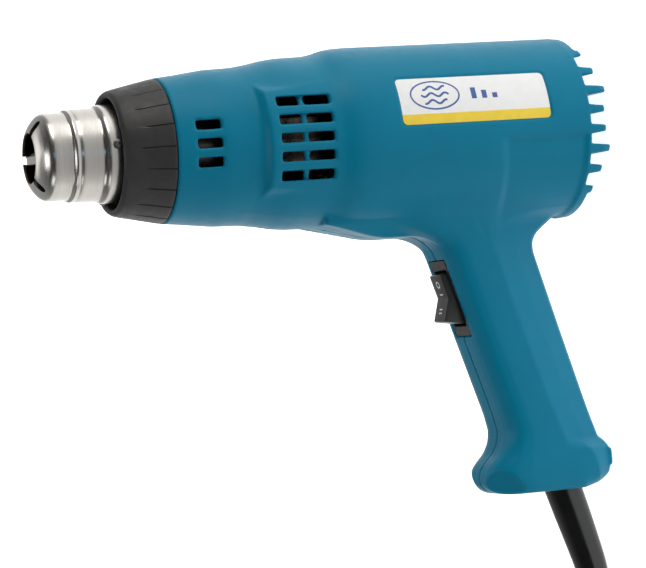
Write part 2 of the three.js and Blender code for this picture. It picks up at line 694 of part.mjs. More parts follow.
function cordClamp() {
  const bar = solid(block([-4, 4], [0.6, 6.4], [-11.4, 11.4]));
  const groove = new THREE.CylinderGeometry(CORD_RADIUS + GAP, CORD_RADIUS + GAP, 20, 16);
  groove.rotateZ(Math.PI / 2);
  const holes = joined([-CLAMP_SCREW_Z, CLAMP_SCREW_Z].map(
    (z) => rodAlongY(CLAMP_SHANK_RADIUS + GAP, [0, z], -10, 10, 10)));
  return placeClamp(cutGeometry(bar.subtract(solid(groove)).subtract(holes)));
}

function cordInnerEnd() {
  const end = new THREE.CylinderGeometry(CORD_RADIUS, CORD_RADIUS, 15, 14).rotateZ(Math.PI / 2);
  return placeClamp(plainGeometry(end));
}

// ---------------------------------------------------------------- cord, in the part's frame

const SLEEVE_STATIONS = [
  [-142.4, 21, SLEEVE_FLANGE_RADIUS], [-145.9, 19.95, SLEEVE_FLANGE_RADIUS],
  [-146, 19.9, SLEEVE_NECK_RADIUS],
  [-151.4, 18.3, SLEEVE_NECK_RADIUS], [-162, 15.05, 7.6], [-172.5, 11.9, 7.25],
  [-183, 8.9, 6.85], [-192, 7, 6.4], [-201, 5.9, 5.7], [-210, 5.3, 5],
];

const CORD_LEAD = [
  [-153.8, 0, 5.2], [-160, 0, 4.8], [-167, 1.8, 4.4], [-175, 6.4, 4.2], [-182, 13.6, 4.2],
  [-187.4, 21.6, 4.2], [-193, 30.2, 4.2], [-200, 38.4, 4.3], [-209, 44.6, 4.6], [-217.5, 47.1, 5],
  [-225, 47.5, 5.4],
];

const CORD_TAIL = [
  [-287.6, 20.4, 37.4], [-292.2, 8.6, 37.6], [-292.7, -2.4, 38.2], [-288.9, -13.4, 39.4],
  [-281, -22.4, 41], [-270.4, -27.6, 42.8], [-259, -29.4, 44.8], [-248.4, -29.6, 46.4],
];

const PLUG_START = [-247.6, -29.6, 46.5];
const PLUG_ROUNDNESS = 0.72;          // 1 is an ellipse, and less is closer to a rectangle
const PIN_RADIUS = 2.4;
const PIN_LENGTH = 19;
const PIN_OFFSET = 9.5;
const COIL_ROUNDING = 2.6;
const TIE_HALF_WIDTH = 3.5;
const TIE_MARGINS = [0.5, 1.3];       // inside and outside of the strap, off the coil
const TIE_TURN = THREE.MathUtils.degToRad(-52);

// Plug sections: distance from the cord, half width and half height.
const PLUG_SECTIONS = [
  [0, 4.7, 4.7], [15, 5.6, 5.6], [16.5, 8.4, 7.6], [30, 10.8, 8.8], [40, 15.8, 11.4],
  [45, 17.6, 12.8], [52, 17.6, 12.8], [53, 16.8, 12],
];

function plugBody() {
  const sides = 20;
  const [x0, y0, z0] = PLUG_START;
  const power = (value) => Math.sign(value) * Math.abs(value) ** PLUG_ROUNDNESS;
  return loft(PLUG_SECTIONS.map(([along, width, height]) => Array.from({ length: sides }, (_, k) => {
    const angle = (2 * Math.PI * k) / sides;
    return new THREE.Vector3(x0 + along, y0 + width * power(Math.cos(angle)),
      z0 + height * power(Math.sin(angle)));
  })));
}

function plugPin(side) {
  const [x0, y0, z0] = PLUG_START;
  const pin = new THREE.CylinderGeometry(PIN_RADIUS, PIN_RADIUS, PIN_LENGTH, 14);
  const [bodyLength] = PLUG_SECTIONS.at(-1);
  return pin.rotateZ(Math.PI / 2)
    .translate(x0 + bodyLength + GAP + PIN_LENGTH / 2, y0 + side * PIN_OFFSET, z0);
}

function cordCoil() {
  const [low, high] = COIL_Z;
  const [shoulderRadius, shoulderZ] = COIL_SHOULDER;
  return revolve([
    [COIL_INNER, low + COIL_ROUNDING], [COIL_INNER + COIL_ROUNDING, low],
    [COIL_OUTER - COIL_ROUNDING, low], [COIL_OUTER, low + COIL_ROUNDING], [COIL_OUTER, shoulderZ],
    [shoulderRadius, high], [COIL_INNER + COIL_ROUNDING, high], [COIL_INNER, high - COIL_ROUNDING],
  ], 30).translate(COIL_CENTRE_X, 0, 0);
}

// A strap round the coil's section.
function cordTie() {
  const frame = (margin) => [
    [COIL_INNER - margin, COIL_Z[0] - margin], [COIL_OUTER + margin, COIL_Z[0] - margin],
    [COIL_OUTER + margin, COIL_SHOULDER[1] + margin / 2],
    [COIL_SHOULDER[0] + margin / 2, COIL_Z[1] + margin], [COIL_INNER - margin, COIL_Z[1] + margin],
  ];
  const [inside, outside] = TIE_MARGINS;
  const band = solid(profileAlongY(frame(outside), -TIE_HALF_WIDTH, TIE_HALF_WIDTH));
  const core = solid(profileAlongY(frame(inside), -2 * TIE_HALF_WIDTH, 2 * TIE_HALF_WIDTH));
  return cutGeometry(band.subtract(core)).rotateZ(TIE_TURN).translate(COIL_CENTRE_X, 0, 0);
}

// ---------------------------------------------------------------- assembly

const group = new THREE.Group();
const gun = new THREE.Group();
gun.position.x = BARREL_AXIS_X;
group.add(gun);

function add(parent, name, geometry, look) {
  const mesh = new THREE.Mesh(geometry, look);
  mesh.name = name;
  parent.add(mesh);
}

add(gun, 'housing_left', housingHalf(-1), teal);
add(gun, 'housing_right', housingHalf(1), teal);
HOUSING_SCREWS.forEach((screw, k) => add(gun, `housing_screw_${k + 1}`, housingScrew(screw), zinc));
add(gun, 'rating_label', plainGeometry(labelPlate(
  BARREL_RADIUS - LABEL_DEPTH + GAP, BARREL_RADIUS - LABEL_DEPTH + GAP + LABEL_THICKNESS, 0)), paper);

add(gun, 'nozzle_guard', nozzleGuard(), guardBlack);
add(gun, 'nozzle_tube', nozzleTube(), steel);
for (let k = 0; k < NOZZLE_SCREWS; k += 1) {
  add(gun, `nozzle_screw_${k + 1}`, nozzleScrew(k), zinc);
}
add(gun, 'nozzle_seat', plainGeometry(revolve(NOZZLE_SEAT, 24)), ceramic);

add(gun, 'switch_body', switchBody(), switchBlack);
add(gun, 'switch_rocker', switchRocker(), switchBlack);
add(gun, 'rocker_pin', plainGeometry(rockerPin()), zinc);
for (let k = 0; k < 3; k += 1) {
  add(gun, `switch_terminal_${k + 1}`, plainGeometry(switchTerminal(k)), brass);
}

add(gun, 'motor_can', motorCan(), zinc);
add(gun, 'motor_mount', motorMount(), whitePlastic);
add(gun, 'motor_shaft', plainGeometry(rodAlongZ(SHAFT_RADIUS, ...SHAFT_Z, 12)), steel);
add(gun, 'fan_impeller', fanImpeller(), whitePlastic);
add(gun, 'air_duct', plainGeometry(revolve(AIR_DUCT, 24)), whitePlastic);

add(gun, 'heater_shield', plainGeometry(
  revolve(tubeOutline(...SHIELD_RADII, ...SHIELD_Z), 32)), steel);
add(gun, 'mica_sleeve', plainGeometry(revolve(tubeOutline(...MICA_RADII, ...MICA_Z), 24)), mica);
add(gun, 'heater_core', heaterCore(), ceramic);
add(gun, 'heating_coil', plainGeometry(heatingCoil()), heatWire);
add(gun, 'thermal_cutout', plainGeometry(
  block([23.6, 27], [-3.4, 3.4], [112, 124]).rotateZ(CUTOUT_TURN)), brass);

add(gun, 'control_board', plainGeometry(
  inHandle(block([-15, 13], [4.4, 6], [-8.4, 12.5]), BOARD_X)), board);
add(gun, 'capacitor', plainGeometry(
  inHandle(block([-13, 1], [-2.8, 4.1], [-6.4, 1.5]), BOARD_X)), blueWire);
add(gun, 'rectifier', plainGeometry(
  inHandle(block([3, 12], [-0.6, 4.1], [-5, 4]), BOARD_X)), switchBlack);
add(gun, 'cord_clamp', cordClamp(), whitePlastic);
[-1, 1].forEach((side, k) => add(gun, `clamp_screw_${k + 1}`, clampScrew(side), zinc));
add(gun, 'cord_inner_end', cordInnerEnd(), rubber);

const WIRES = {
  live_wire: { look: brownWire, points: [[-122.6, -2.2, 27.6], [-116, -6, 27], [-104, -9, 28],
    [-90, -9.4, 31.6], [-79, -6, 34.6], [-75, 0, 35.8]] },
  neutral_wire: { look: blueWire, points: [[-122.6, 2.2, 26.2], [-116, -6, 22.6], [-106, -9, 23.6],
    [-92, -10, 28], [-79, -2, 29], [-66, 7, 32], [-52, 8, 39], [-41, 8, 42.4],
    [-31, 7, 38], [-24, 5, 30], [-16, 4, 28.4]] },
  heater_wire: { look: redWire, points: [[-52.6, 0, 38.6], [-44, -4, 38], [-36, -10, 44],
    [-26, -17, 53], [-20, -19.6, 61], [-22.4, -22.4, 66.4], [-24, -24, 72.4], [-24, -24, 85],
    [-24, -24, 97], [-22.4, -22.4, 104], [-18.4, -18.4, 110.6]] },
};
Object.entries(WIRES).forEach(([name, { look, points }]) => {
  add(gun, name, plainGeometry(cable(points, 1, 6, 2 * points.length)), look);
});

const sleeve = taperedSleeve(SLEEVE_STATIONS, 16).translate(BARREL_AXIS_X, 0, 0);
add(group, 'cord_sleeve', sleeve, rubber);
add(group, 'cord_lead', plainGeometry(cable(CORD_LEAD, CORD_RADIUS, 10, 24)), rubber);
add(group, 'cord_coil', plainGeometry(cordCoil()), rubber);
add(group, 'cord_tie', cordTie(), switchBlack);
add(group, 'cord_tail', plainGeometry(cable(CORD_TAIL, CORD_RADIUS, 10, 14)), rubber);
add(group, 'plug_body', plugBody(), rubber);
[-1, 1].forEach((side, k) => add(group, `plug_pin_${k + 1}`, plainGeometry(plugPin(side)), brass));

export default group;
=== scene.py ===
import functools
import json
import math

import bmesh
import bpy
import numpy as np
from mathutils import Matrix, Vector


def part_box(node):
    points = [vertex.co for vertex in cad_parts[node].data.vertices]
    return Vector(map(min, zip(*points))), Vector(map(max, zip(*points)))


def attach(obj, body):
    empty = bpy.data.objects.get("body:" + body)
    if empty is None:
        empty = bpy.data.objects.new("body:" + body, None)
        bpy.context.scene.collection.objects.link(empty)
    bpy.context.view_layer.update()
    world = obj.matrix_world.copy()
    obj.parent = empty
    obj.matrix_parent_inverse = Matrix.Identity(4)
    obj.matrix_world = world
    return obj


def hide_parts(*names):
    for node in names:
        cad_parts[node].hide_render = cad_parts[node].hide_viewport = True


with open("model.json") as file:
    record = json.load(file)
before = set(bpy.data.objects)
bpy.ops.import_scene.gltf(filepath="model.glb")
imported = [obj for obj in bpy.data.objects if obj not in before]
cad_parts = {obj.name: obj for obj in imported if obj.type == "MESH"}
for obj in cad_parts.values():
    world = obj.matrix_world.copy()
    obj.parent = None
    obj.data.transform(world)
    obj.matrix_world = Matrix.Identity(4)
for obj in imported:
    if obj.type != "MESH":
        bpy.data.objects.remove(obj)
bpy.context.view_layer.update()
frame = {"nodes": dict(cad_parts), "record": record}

MM = 0.001
nozzle_low, nozzle_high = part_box("nozzle_tube")
AXIS_X = (nozzle_low.x + nozzle_high.x) / 2 / MM  # the barrel's axis, in the row's frame

BARREL_RADIUS = 38.0
WALL = 2.6
GAP = 0.3
RIM_Z = 9.5
END_PLATE_Z = 7.0
HOUSING_FRONT_Z = 184.6
NOZZLE_TIP_Z = nozzle_high.z / MM
CORD_RADIUS = 3.9


def row(x, y, z):
    """A point of the gun's frame, in metres in the row's frame."""
    return Vector(((x + AXIS_X) * MM, y * MM, z * MM))


def add_object(name, data):
    piece = bpy.data.objects.new(name, data)
    bpy.context.scene.collection.objects.link(piece)
    return piece


def shade(mesh, sharp_degrees=None):
    """Smooth shading, broken at edges sharper than the angle where one is given."""
    mesh.polygons.foreach_set("use_smooth", [True] * len(mesh.polygons))
    if sharp_degrees is not None:
        mesh.set_sharp_from_angle(angle=math.radians(sharp_degrees))


def ease(t):
    """From 0 to 1, starting and ending softly."""
    return t * t * (3 - 2 * t)


# ---- camera

CAMERA_LENS = 150.0
CAMERA_DISTANCE = 1.1
CAMERA_AIM = Vector((-0.00151, 0.0, 0.11838))
CAMERA_RISE = math.radians(20.5)  # towards the nozzle end
CAMERA_SWING = math.radians(0.755)  # towards the handle end
BARREL_SLOPE = math.radians(4.38)  # of the barrel in the picture


def make_camera():
    back = Vector((
        -math.sin(CAMERA_SWING),
        -math.cos(CAMERA_SWING) * math.cos(CAMERA_RISE),
        math.cos(CAMERA_SWING) * math.sin(CAMERA_RISE),
    ))
    up = (Vector((1, 0, 0)) - back * back.x).normalized()
    right = up.cross(back)
    tail = Vector((0, 0, -1))
    turn = math.atan2(tail.dot(up), tail.dot(right)) - BARREL_SLOPE
    turned_right = right * math.cos(turn) + up * math.sin(turn)
    turned_up = up * math.cos(turn) - right * math.sin(turn)
    data = bpy.data.cameras.new("camera")
    data.lens = CAMERA_LENS
    data.clip_start = 0.05
    data.clip_end = 20
    camera = add_object("camera", data)
    axes = Matrix((turned_right, turned_up, back)).transposed().to_4x4()
    camera.matrix_world = Matrix.Translation(CAMERA_AIM + back * CAMERA_DISTANCE) @ axes
    bpy.context.scene.camera = camera


make_camera()

# ---- materials


def map_range(nodes, low, high, start, end):
    """A node that maps the range from start to end onto low to high."""
    node = nodes.new("ShaderNodeMapRange")
    for socket, number in zip(("From Min", "From Max", "To Min", "To Max"),
                              (start, end, low, high)):
        node.inputs[socket].default_value = number
    return node


class Look:
    """A material's node tree with its Principled shader and object coordinates."""

    def __init__(self, name, color, roughness, metallic=0.0, **sockets):
        self.material = bpy.data.materials.new(name)
        self.material.use_nodes = True
        self.nodes = self.material.node_tree.nodes
        self.shader = self.nodes["Principled BSDF"]
        self.set("Base Color", (*color, 1))
        self.set("Roughness", roughness)
        self.set("Metallic", metallic)
        for socket, value in sockets.items():
            self.set(socket.replace("_", " "), value)
        self.place = self.nodes.new("ShaderNodeTexCoord").outputs["Object"]

    def set(self, socket, value):
        self.shader.inputs[socket].default_value = value

    def link(self, source, target):
        self.material.node_tree.links.new(source, target)

    def stretched(self, scale):
        node = self.nodes.new("ShaderNodeMapping")
        node.inputs["Scale"].default_value = scale
        self.link(self.place, node.inputs["Vector"])
        return node.outputs["Vector"]

    def noise(self, scale, detail=3.0, stretch=(1, 1, 1)):
        node = self.nodes.new("ShaderNodeTexNoise")
        node.inputs["Scale"].default_value = scale
        node.inputs["Detail"].default_value = detail
        self.link(self.stretched(stretch), node.inputs["Vector"])
        return node.outputs["Fac"]

    def remap(self, value, low, high, start=0.3, end=0.7):
        node = map_range(self.nodes, low, high, start, end)
        self.link(value, node.inputs["Value"])
        return node.outputs["Result"]

    def vary_roughness(self, value, low, high):
        self.link(self.remap(value, low, high), self.shader.inputs["Roughness"])

    def vary_color(self, value, first, second):
        node = self.nodes.new("ShaderNodeValToRGB")
        for element, position, color in zip(node.color_ramp.elements, (0.35, 0.65),
                                            (first, second)):
            element.position = position
            element.color = (*color, 1)
        self.link(value, node.inputs["Fac"])
        self.link(node.outputs["Color"], self.shader.inputs["Base Color"])

    def bump(self, value, distance, strength=1.0):
        node = self.nodes.new("ShaderNodeBump")
        node.inputs["Distance"].default_value = distance
        node.inputs["Strength"].default_value = strength
        earlier = self.shader.inputs["Normal"].links
        if earlier:
            self.link(earlier[0].from_socket, node.inputs["Normal"])
        self.link(value, node.inputs["Height"])
        self.link(node.outputs["Normal"], self.shader.inputs["Normal"])


def teal_plastic():
    look = Look("housing_teal", (0.0, 0.172, 0.28), 0.42, Specular_IOR_Level=0.12)
    look.vary_color(look.noise(60, 4), (0.0, 0.167, 0.273), (0.0, 0.177, 0.287))
    look.vary_roughness(look.noise(220, 3), 0.38, 0.46)
    look.bump(look.noise(2600, 2), 0.00006, 0.35)
    return look.material


def guard_plastic():
    look = Look("guard_black", (0.03, 0.029, 0.028), 0.5, Specular_IOR_Level=0.28)
    look.vary_color(look.noise(90, 4), (0.026, 0.025, 0.0245), (0.034, 0.0325, 0.0315))
    look.vary_roughness(look.noise(400, 3), 0.42, 0.56)
    look.bump(look.noise(2200, 2), 0.00008, 0.4)
    return look.material


def switch_plastic():
    look = Look("switch_black", (0.016, 0.015, 0.0145), 0.34, Specular_IOR_Level=0.4)
    look.vary_roughness(look.noise(500, 3), 0.32, 0.44)
    look.bump(look.noise(1800, 2), 0.00005, 0.3)
    return look.material


def polished_steel(name="stainless", color=(0.46, 0.44, 0.41), roughness=0.25):
    look = Look(name, color, roughness, 1.0)
    lines = look.noise(55, 3, stretch=(0.35, 0.35, 14))
    look.vary_roughness(lines, roughness - 0.04, roughness + 0.07)
    look.vary_color(look.noise(35, 2), tuple(0.94 * c for c in color), color)
    look.bump(lines, 0.00001, 0.5)
    return look.material


def plated_metal(name, color, roughness):
    look = Look(name, color, roughness, 1.0)
    look.vary_roughness(look.noise(700, 3), roughness - 0.06, roughness + 0.08)
    look.bump(look.noise(900, 2), 0.00002, 0.3)
    return look.material


def smooth_rubber():
    look = Look("rubber_black", (0.006, 0.006, 0.0065), 0.2)
    look.vary_roughness(look.noise(160, 3), 0.16, 0.26)
    look.bump(look.noise(900, 2), 0.00003, 0.25)
    return look.material


def dry_material(name, color, roughness, grain=500):
    look = Look(name, color, roughness)
    look.vary_color(look.noise(120, 3), tuple(0.9 * c for c in color), color)
    look.vary_roughness(look.noise(grain, 2), roughness - 0.06, roughness + 0.06)
    look.bump(look.noise(grain, 2), 0.00004, 0.3)
    return look.material


STEEL = polished_steel()
RUBBER = smooth_rubber()
TEAL = teal_plastic()
GUARD = guard_plastic()
SWITCH = switch_plastic()
ZINC = plated_metal("zinc", (0.55, 0.56, 0.57), 0.32)
DARK_ZINC = plated_metal("dark_zinc", (0.16, 0.16, 0.165), 0.42)
BRASS = plated_metal("brass", (0.72, 0.5, 0.2), 0.28)
LOOKS = dict(housing_teal=TEAL, guard_black=GUARD, stainless=STEEL, zinc=ZINC, brass=BRASS,
             switch_black=SWITCH, rubber_black=RUBBER)
for slot_name, *values in (
    ("ceramic", (0.6, 0.54, 0.43), 0.8), ("mica", (0.3, 0.21, 0.12), 0.5, 300),
    ("white_plastic", (0.7, 0.69, 0.65), 0.45), ("circuit_board", (0.03, 0.14, 0.05), 0.4, 900),
    ("capacitor_blue", (0.03, 0.09, 0.28), 0.35), ("wire_brown", (0.1, 0.04, 0.02), 0.45),
    ("wire_blue", (0.02, 0.07, 0.25), 0.45), ("wire_red", (0.35, 0.02, 0.01), 0.45),
):
    LOOKS[slot_name] = dry_material(slot_name, *values)
for slot_name, color in (("burnt_steel", (0.07, 0.05, 0.035)), ("heat_wire", (0.2, 0.16, 0.14))):
    LOOKS[slot_name] = plated_metal(slot_name, color, 0.5)
# The heater shield's steel is darkened to near black as painted shade, standing in for the shade
# inside the housing behind the slots.
PAINTED_SHADE_SHIELD = plated_metal("heater_shield_painted_shade", (0.06, 0.052, 0.046), 0.28)


def paint_cad_nodes():
    """Every carried-over node gets its slot's material, and curved ones are shaded smooth."""
    slots = {s["node"]: s["material_slot"] for s in frame["record"]["subparts"]}
    for name, node in frame["nodes"].items():
        look = LOOKS.get(slots.get(name), SWITCH)
        node.data.materials.clear()
        node.data.materials.append(look)
        shade(node.data, 32)
    # The heater shield instead gets the steel whose colour is darkened as painted shade.
    frame["nodes"]["heater_shield"].data.materials[0] = PAINTED_SHADE_SHIELD


paint_cad_nodes()

# ---- mesh helpers


def make_object(name, points, faces, look, body, smooth_angle=None):
    """A mesh of points in metres in the row's frame, riding on a body."""
    mesh = bpy.data.meshes.new(name)
    mesh.from_pydata([tuple(p) for p in points], [], [tuple(f) for f in faces])
    mesh.materials.append(look)
    shade(mesh, smooth_angle)
    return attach(add_object(name, mesh), body)


def grid_faces(rows, columns, wrap_rows=False):
    """Quads of a grid whose columns close on themselves, and its rows too where asked."""
    faces = []
    for i in range(rows if wrap_rows else rows - 1):
        for k in range(columns):
            a, b = i * columns, ((i + 1) % rows) * columns
            faces.append((a + k, a + (k + 1) % columns, b + (k + 1) % columns, b + k))
    return faces


def capped_grid(rows, columns):
    """Faces of a row of rings, with the first and the last ring closed."""
    last = (rows - 1) * columns
    return [*grid_faces(rows, columns), tuple(reversed(range(columns))),
            tuple(range(last, last + columns))]


def rounded(points, radius, steps=3):
    """A closed 2-D outline with each corner replaced by a short curve of about that radius."""
    made = []
    count = len(points)
    for i, corner in enumerate(points):
        corner = Vector(corner)
        before, after = Vector(points[i - 1]), Vector(points[(i + 1) % count])
        reach = min(radius, 0.45 * (before - corner).length, 0.45 * (after - corner).length)
        start = corner + (before - corner).normalized() * reach
        end = corner + (after - corner).normalized() * reach
        for k in range(steps + 1):
            t = k / steps
            made.append(start * (1 - t) ** 2 + corner * 2 * t * (1 - t) + end * t ** 2)
    return made


def lathe(name, outline, look, body, segments, relief=None, smooth_angle=40):
    """A closed (radius, z) outline turned about the barrel's axis. relief(angle, radius, z) is
    added to a point's radius, in millimetres."""
    points = []
    for r, z in outline:
        for k in range(segments):
            angle = 2 * math.pi * k / segments
            reach = r + (relief(angle, r, z) if relief else 0.0)
            points.append(row(reach * math.cos(angle), reach * math.sin(angle), z))
    faces = grid_faces(len(outline), segments, wrap_rows=True)
    return make_object(name, points, faces, look, body, smooth_angle)


def tube(name, path, radii, look, body, sides=20):
    """A round skin with flat ends about a path of Vectors in metres, one radius for each."""
    points = []
    side = None
    for i, centre in enumerate(path):
        along = (path[min(i + 1, len(path) - 1)] - path[max(i - 1, 0)]).normalized()
        if side is None:
            side = along.orthogonal().normalized()
        side = (side - along * side.dot(along)).normalized()
        other = along.cross(side)
        for k in range(sides):
            angle = 2 * math.pi * k / sides
            offset = side * math.cos(angle) + other * math.sin(angle)
            points.append(centre + offset * radii[i])
    return make_object(name, points, capped_grid(len(path), sides), look, body, 50)


def smooth_path(points, step):
    """Points every step along a smooth curve through the given Vectors."""
    ends = [points[0] * 2 - points[1], *points, points[-1] * 2 - points[-2]]
    made = []
    for i in range(1, len(ends) - 2):
        p0, p1, p2, p3 = ends[i - 1:i + 3]
        pieces = max(1, round((p2 - p1).length / step))
        for k in range(pieces):
            t = k / pieces
            made.append(0.5 * (2 * p1 + (p2 - p0) * t + (2 * p0 - 5 * p1 + 4 * p2 - p3) * t ** 2
                               + (3 * p1 - p0 - 3 * p2 + p3) * t ** 3))
    made.append(points[-1])
    return made


def fix_normals(piece):
    work = bmesh.new()
    work.from_mesh(piece.data)
    bmesh.ops.recalc_face_normals(work, faces=work.faces)
    work.to_mesh(piece.data)
    work.free()


def lathe_between(outline, start, axis, segments=32):
    """Points and faces of a closed-ended (radius, height) outline turned about an axis."""
    axis = axis.normalized()
    side = axis.orthogonal().normalized()
    other = axis.cross(side)
    points = []
    for r, h in outline:
        for k in range(segments):
            angle = 2 * math.pi * k / segments
            offset = side * math.cos(angle) + other * math.sin(angle)
            points.append(start + (axis * h + offset * r) * MM)
    return points, capped_grid(len(outline), segments)


# ---- cord

COIL_CENTRE = (-253.0, 0.0)
TURN_INNER = 39.3
TURN_OUTER = 47.1
LAYER_Z = (5.4, 13.4, 21.4, 29.4)

CORD_LEAD = [
    (-153.8, 0, 5.2), (-160, 0, 4.8), (-167, 1.8, 4.4), (-175, 6.4, 4.2), (-182, 13.6, 4.2),
    (-187.4, 21.6, 4.2), (-193, 30.2, 4.2), (-200, 38.4, 4.3), (-209, 44.6, 4.6),
    (-217.5, 47.1, 5), (-225, 47.5, 5.4),
]
CORD_TAIL = [
    (-261.2, 38.5, 29.9), (-269, 36.1, 31.3), (-276.3, 32.1, 33.3), (-282.6, 26.9, 35.5),
    (-287.6, 20.4, 37.2), (-291.6, 9.2, 37.7), (-292.4, -2.4, 38.3), (-288.9, -13.4, 39.4),
    (-281, -22.4, 41), (-270.4, -27.6, 42.8), (-259, -29.4, 44.8), (-248.4, -29.6, 46.4),
]

# Where each slot of the winding starts and ends, in degrees from +X, with its radius and height.
WINDING = [
    (90, 370, TURN_OUTER, LAYER_Z[0]), (420, 680, TURN_INNER, LAYER_Z[0]),
    (730, 990, TURN_INNER, LAYER_Z[1]), (1040, 1300, TURN_OUTER, LAYER_Z[1]),
    (1350, 1610, TURN_OUTER, LAYER_Z[2]), (1660, 1920, TURN_INNER, LAYER_Z[2]),
    (1970, 2250, TURN_INNER, LAYER_Z[3]),
]


def coil_turns():
    """The coil's centreline, as points every 10 degrees; between slots it moves over smoothly."""
    stops = []
    for start, end, radius, height in WINDING:
        stops += [(start, radius, height), (end, radius, height)]
    made = []
    for angle in range(WINDING[0][0], WINDING[-1][1] + 1, 10):
        i = max(k for k, stop in enumerate(stops) if stop[0] <= angle)
        (a0, r0, z0), (a1, r1, z1) = stops[i], stops[min(i + 1, len(stops) - 1)]
        t = (angle - a0) / (a1 - a0) if a1 > a0 else 0.0
        share = ease(t)
        r, z = r0 + (r1 - r0) * share, z0 + (z1 - z0) * share
        turn = math.radians(angle)
        made.append((COIL_CENTRE[0] + r * math.cos(turn), COIL_CENTRE[1] + r * math.sin(turn), z))
    return made


def make_cord():
    route = [Vector(p) * MM for p in CORD_LEAD + coil_turns() + CORD_TAIL]
    path = smooth_path(route, 0.004)
    cord = tube("mains_lead", path, [CORD_RADIUS * MM] * len(path), RUBBER, "gun", 16)
    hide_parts("cord_lead", "cord_coil", "cord_tail")
    length = sum((b - a).length for a, b in zip(path, path[1:]))
    return cord, path, length


SLEEVE_STATIONS = [  # x and z in the gun's frame, radius
    (-142.4, 21, 9.2), (-145.7, 20, 9.3), (-146.1, 19.9, 7.8), (-151.4, 18.3, 7.8),
    (-162, 15.05, 7.6), (-172.5, 11.9, 7.25), (-183, 8.9, 6.85), (-192, 7, 6.4),
    (-201, 5.9, 5.7), (-209.2, 5.35, 5.1), (-210, 5.3, 4.6),
]


def make_sleeve():
    path = [row(x, 0, z) for x, z, _ in SLEEVE_STATIONS]
    places = smooth_path(path, 0.002)
    along = np.cumsum([0.0] + [(b - a).length for a, b in zip(path, path[1:])])
    here = np.cumsum([0.0] + [(b - a).length for a, b in zip(places, places[1:])])
    here *= along[-1] / here[-1]
    radii = np.interp(here, along, [r * MM for _, _, r in SLEEVE_STATIONS])
    sleeve = tube("bend_sleeve", places, radii, RUBBER, "gun", 48)
    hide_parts("cord_sleeve")
    return sleeve


PLUG_START = (-247.6, -29.6, 46.5)
PLUG_SECTIONS = [  # distance from the cord, half width, half height
    (0, 4.6, 4.6), (2.4, 4.7, 4.7), (2.6, 5.1, 5.1), (4.6, 5.1, 5.1), (4.8, 4.7, 4.7),
    (7, 4.8, 4.8), (7.2, 5.2, 5.2), (9.2, 5.2, 5.2), (9.4, 4.9, 4.9), (12, 5.1, 5.1),
    (12.2, 5.5, 5.5), (14.4, 5.6, 5.6), (14.9, 6.4, 6.2), (16.5, 8.2, 7.4), (22, 9.2, 7.9),
    (30, 10.7, 8.7), (35, 12.9, 9.9), (40, 15.6, 11.2), (43, 16.9, 12.2), (46, 17.5, 12.7),
    (51, 17.5, 12.7), (52.4, 17.1, 12.3), (53, 16.4, 11.6),
]


PLUG_POWER = 0.74  # below 1 the section is squarer than an ellipse


def make_plug():
    sides = 48
    x0, y0, z0 = PLUG_START
    points = []
    for along, width, height in PLUG_SECTIONS:
        for k in range(sides):
            angle = 2 * math.pi * k / sides
            c, s = math.cos(angle), math.sin(angle)
            points.append(Vector((
                x0 + along,
                y0 + width * math.copysign(abs(c) ** PLUG_POWER, c),
                z0 + height * math.copysign(abs(s) ** PLUG_POWER, s),
            )) * MM)
    faces = capped_grid(len(PLUG_SECTIONS), sides)
    plug = make_object("plug_moulding", points, faces, RUBBER, "gun", 50)
    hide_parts("plug_body")
    return plug


def make_pins():
    made = []
    for k in range(2):
        low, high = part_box(f"plug_pin_{k + 1}")
        start = Vector((low.x, (low.y + high.y) / 2, (low.z + high.z) / 2))
        length = (high.x - low.x) / MM
        outline = [(2.35, 0), (2.4, 0.3), (2.4, length - 2), (2.25, length - 1.2),
                   (1.8, length - 0.45), (1.0, length - 0.05), (0.3, length)]
        points, faces = lathe_between(outline, start, Vector((1, 0, 0)))
        pin = make_object(f"contact_pin_{k + 1}", points, faces, BRASS, "gun", 45)
        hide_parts(f"plug_pin_{k + 1}")
        made.append(pin)
    return made


def make_tie():
    """A flat strap round the coil's section, with a flat fold where its ends meet."""
    inner, outer, low, high, shoulder = 35.3, 51.3, 1.5, 33.3, (43.0, 24.0)
    room = 0.9
    corners = [(inner - room, low - room), (outer + room, low - room),
               (outer + room, shoulder[1] + 0.4), (shoulder[0] + 0.4, high + room),
               (inner - room, high + room)]
    loop = rounded(corners, 3.2, 6)
    turn = math.radians(-52)  # where round the coil the tie is
    points = []
    section = [(-3.5, -0.3), (-3.3, 0.35), (3.3, 0.35), (3.5, -0.3), (3.3, -0.38), (-3.3, -0.38)]
    count = len(loop)
    for i, (r, z) in enumerate(loop):
        before, after = loop[i - 1], loop[(i + 1) % count]
        along = (after - before).normalized()
        normal = Vector((along.y, -along.x))
        for aside, lift in section:
            place_r, place_z = r + normal.x * lift, z + normal.y * lift
            points.append(Vector((
                COIL_CENTRE[0] + place_r * math.cos(turn) - aside * math.sin(turn),
                COIL_CENTRE[1] + place_r * math.sin(turn) + aside * math.cos(turn), place_z)) * MM)
    tie = make_object("tie_strap", points, grid_faces(count, len(section), wrap_rows=True),
                      SWITCH, "gun", 40)
    fix_normals(tie)
    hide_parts("cord_tie")
    return tie


sleeve = make_sleeve()
cord, cord_path, cord_length = make_cord()
plug = make_plug()
tie = make_tie()
pins = make_pins()

# ---- distance fields
# The housing is one solid described by its distance field in the gun's frame, in millimetres, so
# that its edges and junctions are rounded; each half is then meshed from it.


def soft_max(a, b, k):
    """The larger of two distances, rounding the edge between them over about k."""
    return np.maximum(a, b) + np.maximum(k - np.abs(a - b), 0) ** 2 / (4 * k)


def soft_min(a, b, k):
    return -soft_max(-a, -b, k)


def union(*fields):
    return functools.reduce(np.minimum, fields)


def slab(v, low, high):
    return np.abs(v - (low + high) / 2) - (high - low) / 2


